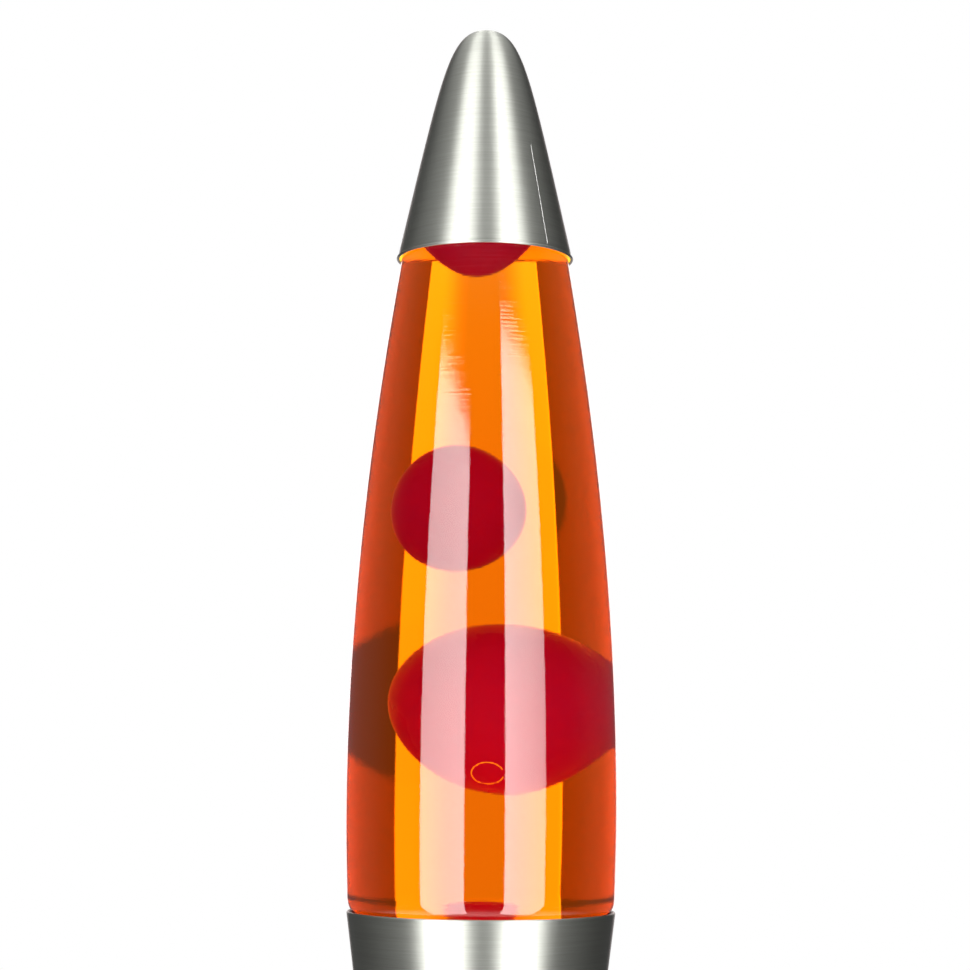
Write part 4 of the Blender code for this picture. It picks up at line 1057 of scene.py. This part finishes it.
def make_feet():
    top = COVER_HIGH.z
    face = COVER_LOW.z - GAP
    corners = [
        (0.0, 0.0006), (0.003, 0.0006), (0.0034, 0.0), (FOOT_RUBBER_RADIUS - 0.0008, 0.0),
        (FOOT_RUBBER_RADIUS, 0.001), (FOOT_RUBBER_RADIUS - 0.0004, face), (FOOT_STEM_RADIUS, face),
        (FOOT_STEM_RADIUS, top + GAP), (FOOT_STEM_RADIUS + 0.001, top + GAP),
        (FOOT_STEM_RADIUS - 0.0006, top + 0.0022), (0.0, top + 0.0022),
    ]
    for index in range(FOOT_COUNT):
        name = f"rubber_foot_{index + 1}"
        form = turned_mesh(eased(corners, 0.0003, 4), SMALL_STEPS)
        place = Matrix.Translation((*foot_place(index), 0.0))
        show("shown_" + name, form, [RUBBER], "base", [name], matrix=place)


def make_screw(name, x, y, head_low, tip, shank, turn):
    """A slotted pan-head screw with a wound thread. Its tip may be above its head or below it."""
    up = 1 if tip > head_low else -1
    head_high = head_low + up * SCREW_HEAD_HEIGHT
    head = ellipse((0.0, head_high - up * 0.0004), SCREW_HEAD_RADIUS, -up * (SCREW_HEAD_HEIGHT - 0.0004),
                   pi / 2, 0.0, 10)
    head[0] = (0.0, head_low)
    under = [(SCREW_HEAD_RADIUS, head_high - up * 0.0001), (SCREW_HEAD_RADIUS - 0.0001, head_high)]
    pitch = shank * 0.46
    thread_start = head_high + up * 0.0004
    rows = max(8, int(abs(tip - thread_start) / pitch * 8))
    body = run((shank, thread_start), (shank, tip - up * shank * 0.5), rows)
    end = [(shank * 0.8, tip - up * shank * 0.3), (shank * 0.4, tip), (0.0, tip)]
    form = turned_mesh(head + under + [(shank, head_high)] + body + end, SMALL_STEPS)
    low, high = sorted((thread_start, tip - up * shank * 0.4))
    wind_thread(form, shank, low, high, pitch, shank * 0.16)
    slot = box_cutter((SCREW_HEAD_RADIUS * 2.4, SCREW_HEAD_RADIUS * 0.28, SCREW_HEAD_HEIGHT),
                      (0.0, 0.0, head_low - up * SCREW_HEAD_HEIGHT * 0.05), turn)
    form = carved(name, form, [slot])
    place = Matrix.Translation((x, y, 0.0))
    show("shown_" + name, form, [SCREW_STEEL], "base", [name], matrix=place)


def make_screws():
    head_low = COVER_LOW.z - GAP - SCREW_HEAD_HEIGHT
    for index in range(COVER_SCREW_COUNT):
        name = f"cover_screw_{index + 1}"
        make_screw(name, *cover_screw_place(index), head_low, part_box(name)[1].z, SCREW_SHANK, 0.4 + index)
    for side, label in ((-1, "left"), (1, "right")):
        name = f"bracket_screw_{label}"
        make_screw(name, side * BRACKET_SCREW_X, 0.0, head_low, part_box(name)[1].z, SCREW_SHANK, 0.9 * side)
        name = f"terminal_screw_{label}"
        low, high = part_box(name)
        make_screw(name, side * TERMINAL_X, 0.0, low.z, high.z, TERMINAL_SHANK, 0.5 * side)
    low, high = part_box("earth_screw")
    make_screw("earth_screw", EARTH_SCREW_X, 0.0, high.z, low.z, SCREW_SHANK, 0.7)


def make_bracket():
    low = BRACKET_LOW.z
    foot_top = low + BRACKET_SHEET
    high = BRACKET_HIGH.z
    end = BRACKET_HIGH.x
    corners = [
        (-end, foot_top), (-BRACKET_SPAN - 0.0015, foot_top), (-BRACKET_SPAN + 0.0015, high),
        (BRACKET_SPAN - 0.0015, high), (BRACKET_SPAN + 0.0015, foot_top), (end, foot_top), (end, low),
        (BRACKET_SPAN, low), (BRACKET_SPAN - 0.003, high - BRACKET_SHEET),
        (-BRACKET_SPAN + 0.003, high - BRACKET_SHEET), (-BRACKET_SPAN, low), (-end, low),
    ]
    rounded = []
    total = len(corners)
    for index, corner in enumerate(corners):
        if index in (1, 2, 3, 4, 7, 8, 9, 10):
            radius = 0.0018 if index in (2, 3, 7, 10) else 0.0006
            rounded += fillet(corners[index - 1], corner, corners[(index + 1) % total], radius, 5)
        else:
            rounded.append(corner)
    half_width = BRACKET_HIGH.y
    form = flat_mesh(rounded, -half_width)
    sweep(form, (0, 2 * half_width, 0))
    cutters = [
        round_cutter(NIPPLE_RADIUS + GAP, 0.0, 0.0, high - 0.003, high + SHEET),
        round_cutter(SCREW_CLEARANCE, EARTH_SCREW_X, 0.0, high - 0.003, high + SHEET),
    ]
    for side in (-1, 1):
        x = side * BRACKET_SCREW_X
        cutters.append(round_cutter(SCREW_CLEARANCE, x, 0.0, low - SHEET, foot_top + SHEET))
    form = carved("bracket", form, cutters)
    show("bent_bracket", form, [ZINC], "base", ["holder_bracket"], radians(25))


def make_fixings():
    low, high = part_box("threaded_nipple")
    pitch = 0.001
    rows = int((high.z - low.z) / pitch * 8)
    outside = run((NIPPLE_RADIUS, low.z + 0.0003), (NIPPLE_RADIUS, high.z - 0.0003), rows)
    ends = [
        (NIPPLE_RADIUS - 0.0003, high.z), (NIPPLE_BORE + 0.0002, high.z), (NIPPLE_BORE, high.z - 0.0002),
        (NIPPLE_BORE, low.z + 0.0002), (NIPPLE_BORE + 0.0002, low.z), (NIPPLE_RADIUS - 0.0003, low.z),
    ]
    form = turned_mesh(outside + ends, 64)
    wind_thread(form, NIPPLE_RADIUS, low.z, high.z, pitch, 0.00045)
    show("wound_nipple", form, [ZINC], "base", ["threaded_nipple"])
    make_nut("nipple_nut_upper")
    make_nut("nipple_nut_lower")
    low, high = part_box("lock_washer")
    corners = [(NIPPLE_RADIUS + GAP, low.z), (high.x, low.z), (high.x, high.z), (NIPPLE_RADIUS + GAP, high.z)]
    form = turned_mesh(eased(corners, 0.0002, 3), 144)
    flute(form, high.x - 0.001, low.z - SHEET, high.z + SHEET, 18, 0.0007)
    show("toothed_washer", form, [ZINC], "base", ["lock_washer"])


def make_nut(name):
    """A hexagon nut whose corners are turned off at both faces."""
    box_low, box_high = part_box(name)
    low = box_low.z
    high = box_high.z
    corner = box_high.x
    steps = 96
    flats = corner * cos(pi / 6)
    form = bmesh.new()
    rings = []
    for cut_back, z in ((0.0006, low), (0.0, low + 0.0004), (0.0, high - 0.0004), (0.0006, high)):
        ring = []
        for step in range(steps):
            angle = 2 * pi * step / steps
            side = (angle + pi / 6) % (pi / 3) - pi / 6
            shift = pi / 6 - abs(side)
            r = min(flats / cos(shift), corner - cut_back)
            ring.append(form.verts.new((r * cos(angle), r * sin(angle), z)))
        rings.append(ring)
    form.faces.new(rings[0])
    form.faces.new(rings[-1])
    skin(form, rings, steps)
    bore = round_cutter(NIPPLE_RADIUS + GAP, 0.0, 0.0, low - SHEET, high + SHEET, 48)
    show("shown_" + name, carved(name, form, [bore]), [ZINC], "base", [name], radians(20))


# ---- lampholder


def make_lampholder():
    low = HOLDER_CAP_LOW.z
    high = HOLDER_CAP_HIGH.z
    corners = [
        (NIPPLE_RADIUS + GAP, low), (0.0078, low), (0.0084, low + 0.003),
        (HOLDER_LOWER_RADIUS - 0.0006, low + 0.0065), (HOLDER_LOWER_RADIUS, high),
        (HOLDER_LOWER_RADIUS - 0.002, high), (HOLDER_LOWER_RADIUS - 0.0028, low + 0.0085),
        (NIPPLE_RADIUS + GAP, low + 0.005),
    ]
    show_eased("holder_cap", corners, 0.0007, 6, MEDIUM_STEPS, PHENOLIC, "base", "lampholder_cap")
    make_holder_body()
    make_holder_shell()
    make_holder_contact()


def make_holder_body():
    low = HOLDER_LOW.z
    high = HOLDER_HIGH.z
    grip = [(HOLDER_LOWER_RADIUS, low), (HOLDER_LOWER_RADIUS, low + 0.007)]
    corners = grip + [
        (HOLDER_UPPER_RADIUS, low + 0.009), (HOLDER_UPPER_RADIUS - 0.0012, high), (HOLDER_BORE, high),
        (HOLDER_BORE, HOLDER_FLOOR_HIGH), (0.0022, HOLDER_FLOOR_HIGH), (0.0022, HOLDER_FLOOR_LOW),
        (HOLDER_LOWER_RADIUS - 0.0024, HOLDER_FLOOR_LOW), (HOLDER_LOWER_RADIUS - 0.002, low),
    ]
    form = turned_mesh(eased(corners, 0.0004, 4), 192)
    flute(form, HOLDER_LOWER_RADIUS - 0.0002, low + 0.0003, low + 0.0069, 32, 0.00045)
    under = HOLDER_FLOOR_LOW - SHEET
    over = HOLDER_FLOOR_HIGH - 0.0004
    cutters = [round_cutter(0.0016, side * TERMINAL_X, 0.0, under, over) for side in (-1, 1)]
    form = carved("holder_body", form, cutters)
    show("holder_body", form, [PHENOLIC], "base", ["lampholder_body"])


def make_holder_shell():
    """The brass sleeve with its rolled E14 thread, which runs clear of the bulb's own."""
    low = SHELL_LOW.z
    high = SHELL_HIGH.z
    out = SHELL_HIGH.x
    bore = out - 0.0004
    start = low + 0.001
    rows = int((high - start) / E14_PITCH * 16)
    outside = run((out, start), (out, high - 0.0001), rows)
    inside = run((bore, high - 0.0001), (bore, start), rows)
    outline = [(0.004, low), (out, low)] + outside + [(out, high), (bore, high)] + inside
    outline += [(bore, low + 0.0004), (0.004, low + 0.0004)]
    form = turned_mesh(outline, MEDIUM_STEPS)
    for near in (out, bore):
        wind_thread(form, near, start, high, E14_PITCH, 0.00018)
    show("threaded_shell", form, [BRASS], "base", ["lampholder_screw_shell"])


def make_holder_contact():
    low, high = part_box("lampholder_centre_contact")
    corners = [
        (0.0, low.z), (0.004, low.z), (0.004, low.z + 0.0004), (0.0016, low.z + 0.0004),
        (0.0016, high.z - 0.0008), (0.003, high.z - 0.0008), (0.003, high.z - 0.0002),
        (0.0022, high.z), (0.0, high.z),
    ]
    show_eased("holder_contact", corners, 0.00012, 3, SMALL_STEPS, BRASS,
               "base", "lampholder_centre_contact")


# ---- bulb


def make_bulb():
    top = BULB_HIGH.z
    neck_z = BULB_LOW.z
    crown_z = top - 0.0085
    front = ellipse((0.0, crown_z), BULB_RADIUS, top - crown_z, pi / 2, -radians(8), 28)
    front[0] = (0.0, top)
    reflector = bezier(
        (BULB_RADIUS - 0.0006, crown_z - 0.005), (BULB_RADIUS - 0.003, crown_z - 0.019),
        (BULB_NECK_RADIUS + 0.0022, neck_z + 0.017), (BULB_NECK_RADIUS, neck_z + 0.0075),
        28,
    )
    outside = [*front, *reflector, (BULB_NECK_RADIUS, neck_z + 0.0003), (BULB_NECK_RADIUS - 0.0002, neck_z)]
    inside = []
    for r, z in offset(outside[:-1], -BULB_GLASS):
        inside.append((max(r, 0.0), max(z, neck_z)))
    inside[0] = (0.0, top - BULB_GLASS)
    inside[-1] = (BULB_NECK_RADIUS - BULB_GLASS, neck_z)
    form = turned_mesh(outside + list(reversed(inside)), MEDIUM_STEPS)
    for face in form.faces:
        if face.calc_center_median().z < crown_z - 0.0004:
            face.material_index = 1
    materials = [BULB_FRONT, BULB_MIRROR]
    show("bulb_glassware", form, materials, "bulb", ["bulb_envelope"])
    make_bulb_cap()
    make_bulb_inside()


def make_bulb_cap():
    low = BULB_CAP_LOW.z
    high = BULB_CAP_HIGH.z
    out = BULB_CAP_HIGH.x
    inner = 0.0061
    rows = int((high - low - 0.0042) / E14_PITCH * 16)
    thread_low = low + 0.0012
    thread_high = high - 0.003
    outside = run((out, thread_low), (out, thread_high), rows)
    outline = [(0.0038, low), (out - 0.0012, low), (out - 0.0004, low + 0.0004)] + outside
    outline += [(out, thread_high), (out, high), (out - 0.0002, high), (inner, high)]
    outline += [(inner, low + 0.0014), (inner - 0.0008, low + 0.0006), (0.0038, low + 0.0006)]
    form = turned_mesh(outline, MEDIUM_STEPS)
    wind_thread(form, out, thread_low, thread_high, E14_PITCH, 0.00042)
    show("bulb_thread", form, [NICKEL], "bulb", ["bulb_screw_cap"])
    tip_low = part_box("bulb_centre_contact")[0].z
    insulator = [
        (0.0014, tip_low + 0.0012), (0.0032, tip_low + 0.0012), (0.0054, low - GAP), (0.0035, low - GAP),
        (0.003, low + 0.0012), (0.0014, low + 0.0012),
    ]
    show_eased("bulb_insulator", insulator, 0.0002, 4, SMALL_STEPS, VITRITE,
               "bulb", "bulb_cap_insulator")
    tip = [
        (0.0, tip_low), (0.0016, tip_low), (0.0024, tip_low + 0.0004), (0.0024, tip_low + 0.0012 - GAP),
        (0.001, tip_low + 0.0012 - GAP), (0.001, low + 0.002), (0.0, low + 0.002),
    ]
    show_eased("bulb_contact", tip, 0.0002, 4, SMALL_STEPS, SOLDER,
               "bulb_tip", "bulb_centre_contact")


def make_bulb_inside():
    neck_z = BULB_LOW.z
    corners = [
        (0.0, neck_z), (BULB_NECK_RADIUS - BULB_GLASS - 0.0005, neck_z), (0.003, neck_z + 0.005),
        (0.0024, BULB_STEM_TOP_Z - 0.003), (0.0018, BULB_STEM_TOP_Z), (0.0, BULB_STEM_TOP_Z),
    ]
    show_eased("bulb_stem_glass", corners, 0.001, 6, SMALL_STEPS, BULB_CLEAR,
               "bulb", "bulb_stem")
    reach = FILAMENT_HALF_SPAN + 0.0008
    for side, label in ((-1, "left"), (1, "right")):
        path = bezier(
            (side * 0.001, BULB_STEM_TOP_Z + GAP), (side * 0.0018, BULB_STEM_TOP_Z + 0.005),
            (side * reach, FILAMENT_Z - 0.006), (side * reach, FILAMENT_Z + 0.0006),
            20,
        )
        form = tube_mesh([(x, 0.0, z) for x, z in path], 0.00025, 12)
        name = f"bulb_lead_{label}"
        show("shown_" + name, form, [NICKEL], "bulb", [name])
    turns = 46
    steps = 12
    path = []
    for step in range(turns * steps + 1):
        along = step / (turns * steps)
        angle = pi * along
        wind = 2 * pi * step / steps
        x = -(FILAMENT_HALF_SPAN - 0.0001) * cos(angle)
        z = FILAMENT_Z + 0.0014 * sin(angle)
        path.append((x, 0.00017 * cos(wind), z + 0.00017 * sin(wind)))
    form = tube_mesh(path, 0.00004, 6)
    show("wound_filament", form, [TUNGSTEN], "bulb", ["bulb_filament"])


# ---- stage


CAMERA_DISTANCE = 0.7035
CAMERA_HEIGHT = RIM_Z + 0.0463
CAMERA_TILT = radians(6.6)
CAMERA_ROLL = radians(0.35)
CAMERA_X = 0.00045
CAMERA_LENS = 86.4

SOFTBOX_LOW_Z = -1.0
SOFTBOX_FADE = 0.05
SOFTBOX_THROUGH_GLASS = 0.5

BACKDROP_DISTANCE = 1.25
BACKDROP_RIGHT = BACKDROP_DISTANCE * tan(radians(19.6))
BACKDROP_LEFT = -0.379
BACKDROP_LEAN = 0.1115
BACKDROP_LOW_Z = 0.002
BACKDROP_HIGH_Z = 1.3
BACKDROP_STRIP = 0.01


def make_camera():
    data = bpy.data.cameras.new("camera")
    data.lens = CAMERA_LENS
    data.sensor_width = 36.0
    camera = bpy.data.objects.new("camera", data)
    bpy.context.scene.collection.objects.link(camera)
    turn = Matrix.Rotation(pi / 2 + CAMERA_TILT, 4, "X") @ Matrix.Rotation(CAMERA_ROLL, 4, "Z")
    camera.matrix_world = Matrix.Translation((CAMERA_X, -CAMERA_DISTANCE, CAMERA_HEIGHT)) @ turn
    bpy.context.scene.camera = camera


def glowing(name, inner_strength, outer_strength, half_width, inner_top, outer_top):
    """A light that changes across its width, fades at its slanting top, and is weaker through glass."""
    g = Graph(name)
    x, y, z = g.place()
    across = g.spread(x, 0.0, 1.0, -half_width, half_width)
    top = g.spread(across, inner_top, outer_top, 0.0, 1.0)
    fade = g.spread(g.math("SUBTRACT", top, z), 0.0, 1.0, 0.0, SOFTBOX_FADE)
    strength = g.spread(across, inner_strength, outer_strength, 0.0, 1.0)
    path = g.add("ShaderNodeLightPath")
    through = g.spread(path.outputs["Is Transmission Ray"], 1.0, SOFTBOX_THROUGH_GLASS, 0.0, 1.0)
    g.shine(g.math("MULTIPLY", g.math("MULTIPLY", strength, fade), through))
    return g.material


def softbox(name, left_bearing, right_bearing, left_top, right_top, left_strength, right_strength):
    """A tall soft light that faces the lamp. Bearings are in degrees to the right of the lamp's front."""
    half_width = tan(radians(right_bearing - left_bearing) / 2)
    corners = (
        (-half_width, SOFTBOX_LOW_Z), (half_width, SOFTBOX_LOW_Z), (half_width, right_top),
        (-half_width, left_top),
    )
    panel = mesh_object(name, flat_mesh(corners))
    middle = radians((left_bearing + right_bearing) / 2)
    panel.matrix_world = Matrix.Rotation(middle, 4, "Z") @ Matrix.Translation((0.0, -1.0, 0.0))
    panel.data.materials.append(glowing(name, left_strength, right_strength, half_width, left_top, right_top))
    panel.visible_camera = False


def make_lights():
    softbox("softbox_left", -51.5, -14.0, 0.79, 0.69, 9.2, 11.4)
    softbox("softbox_right", 19.2, 54.0, 0.86, 0.74, 12.4, 7.8)
    data = bpy.data.lights.new("bulb_glow", "AREA")
    data.shape = "DISK"
    data.size = 0.03
    data.color = (1.0, 0.45, 0.3)
    data.energy = 0.008
    glow = bpy.data.objects.new("bulb_glow", data)
    bpy.context.scene.collection.objects.link(glow)
    glow.matrix_world = Matrix.Translation((0.0, 0.0, POOL_HIGH.z + 0.002)) @ Matrix.Rotation(pi, 4, "X")
    glow.visible_camera = False
    glow.visible_glossy = False
    glow.visible_transmission = False


def make_backdrop():
    """A glowing white sheet behind the lamp, brighter towards its sides and a little dimmer low down."""
    corners = (
        (BACKDROP_LEFT, BACKDROP_LOW_Z), (BACKDROP_RIGHT, BACKDROP_LOW_Z), (BACKDROP_RIGHT, BACKDROP_HIGH_Z),
        (-0.524, BACKDROP_HIGH_Z),
    )
    sheet = mesh_object("backdrop", flat_mesh(corners, BACKDROP_DISTANCE))
    sheet.visible_camera = False
    g = Graph("backdrop_white")
    x, y, z = g.place()
    strength = g.spread(g.math("ABSOLUTE", x), 1.04, 2.2, 0.09, 0.31, "SMOOTHSTEP")
    dim = g.spread(z, 0.8, 1.0, 0.05, 0.55)
    from_edge = g.math("SUBTRACT", g.math("ADD", x, g.math("MULTIPLY", z, BACKDROP_LEAN)), BACKDROP_LEFT)
    strip = g.math("MULTIPLY", g.math("LESS_THAN", from_edge, BACKDROP_STRIP), 1.1)
    g.shine(g.math("ADD", g.math("MULTIPLY", strength, dim), strip), (1.0, 0.89, 0.89))
    sheet.data.materials.append(g.material)


def make_floor():
    """A pale table top that can be looked through from below, and that the lamp's surfaces don't mirror."""
    form = bmesh.new()
    bmesh.ops.create_circle(form, cap_ends=True, segments=128, radius=1.15)
    floor = mesh_object("floor", form)
    floor.location.z = -GAP
    g = Graph("floor_pale")
    g.set(Base_Color=(0.5, 0.5, 0.495, 1.0), Roughness=0.6)
    side = g.add("ShaderNodeNewGeometry")
    clear = g.add("ShaderNodeBsdfTransparent")
    mix = g.add("ShaderNodeMixShader")
    g.link(side.outputs["Backfacing"], mix.inputs[0])
    g.link(g.shader.outputs[0], mix.inputs[1])
    g.link(clear.outputs[0], mix.inputs[2])
    g.surface(mix.outputs[0])
    floor.data.materials.append(g.material)
    floor.visible_glossy = False
    floor.visible_transmission = False


def make_world():
    """White to the camera. To the lamp, a dim room that is lighter above, below and behind."""
    world = bpy.data.worlds.new("studio")
    bpy.context.scene.world = world
    g = Graph("studio", world)
    x, y, z = g.place("Generated")
    steep = g.spread(g.math("ABSOLUTE", z), 0.0, 1.0, 0.46, 0.8, "SMOOTHSTEP")
    side = g.spread(x, 2.4, 1.9, -1.0, 1.0, "SMOOTHSTEP")
    behind = g.spread(y, 0.02, 0.13, -0.3, 0.4, "SMOOTHSTEP")
    left = g.spread(x, 1.15, 0.8, -1.0, 1.0, "SMOOTHSTEP")
    room = g.math("ADD", g.math("MULTIPLY", steep, side), g.math("MULTIPLY", behind, left))
    path = g.add("ShaderNodeLightPath")
    g.set(Color=(1.0, 1.0, 1.0, 1.0), Strength=g.math("MAXIMUM", room, path.outputs["Is Camera Ray"]))


make_camera()
make_lights()
make_backdrop()
make_floor()
make_world()
bpy.context.scene.view_settings.view_transform = "Standard"

make_cap()
make_bottle()
make_liquid()
make_crown()
make_wax("upper_wax", "wax_blob_upper", "wax_upper", upper_wax_shape)
make_wax("middle_wax", "wax_blob_middle", "wax_middle", middle_wax_shape)
make_wax("lower_wax", "wax_blob_lower", "wax_lower", lower_wax_shape)
make_fold()
make_pool()
make_coil()
make_base()
make_grommet()
make_seat()
make_cover()
make_feet()
make_screws()
make_bracket()
make_fixings()
make_lampholder()
make_bulb()
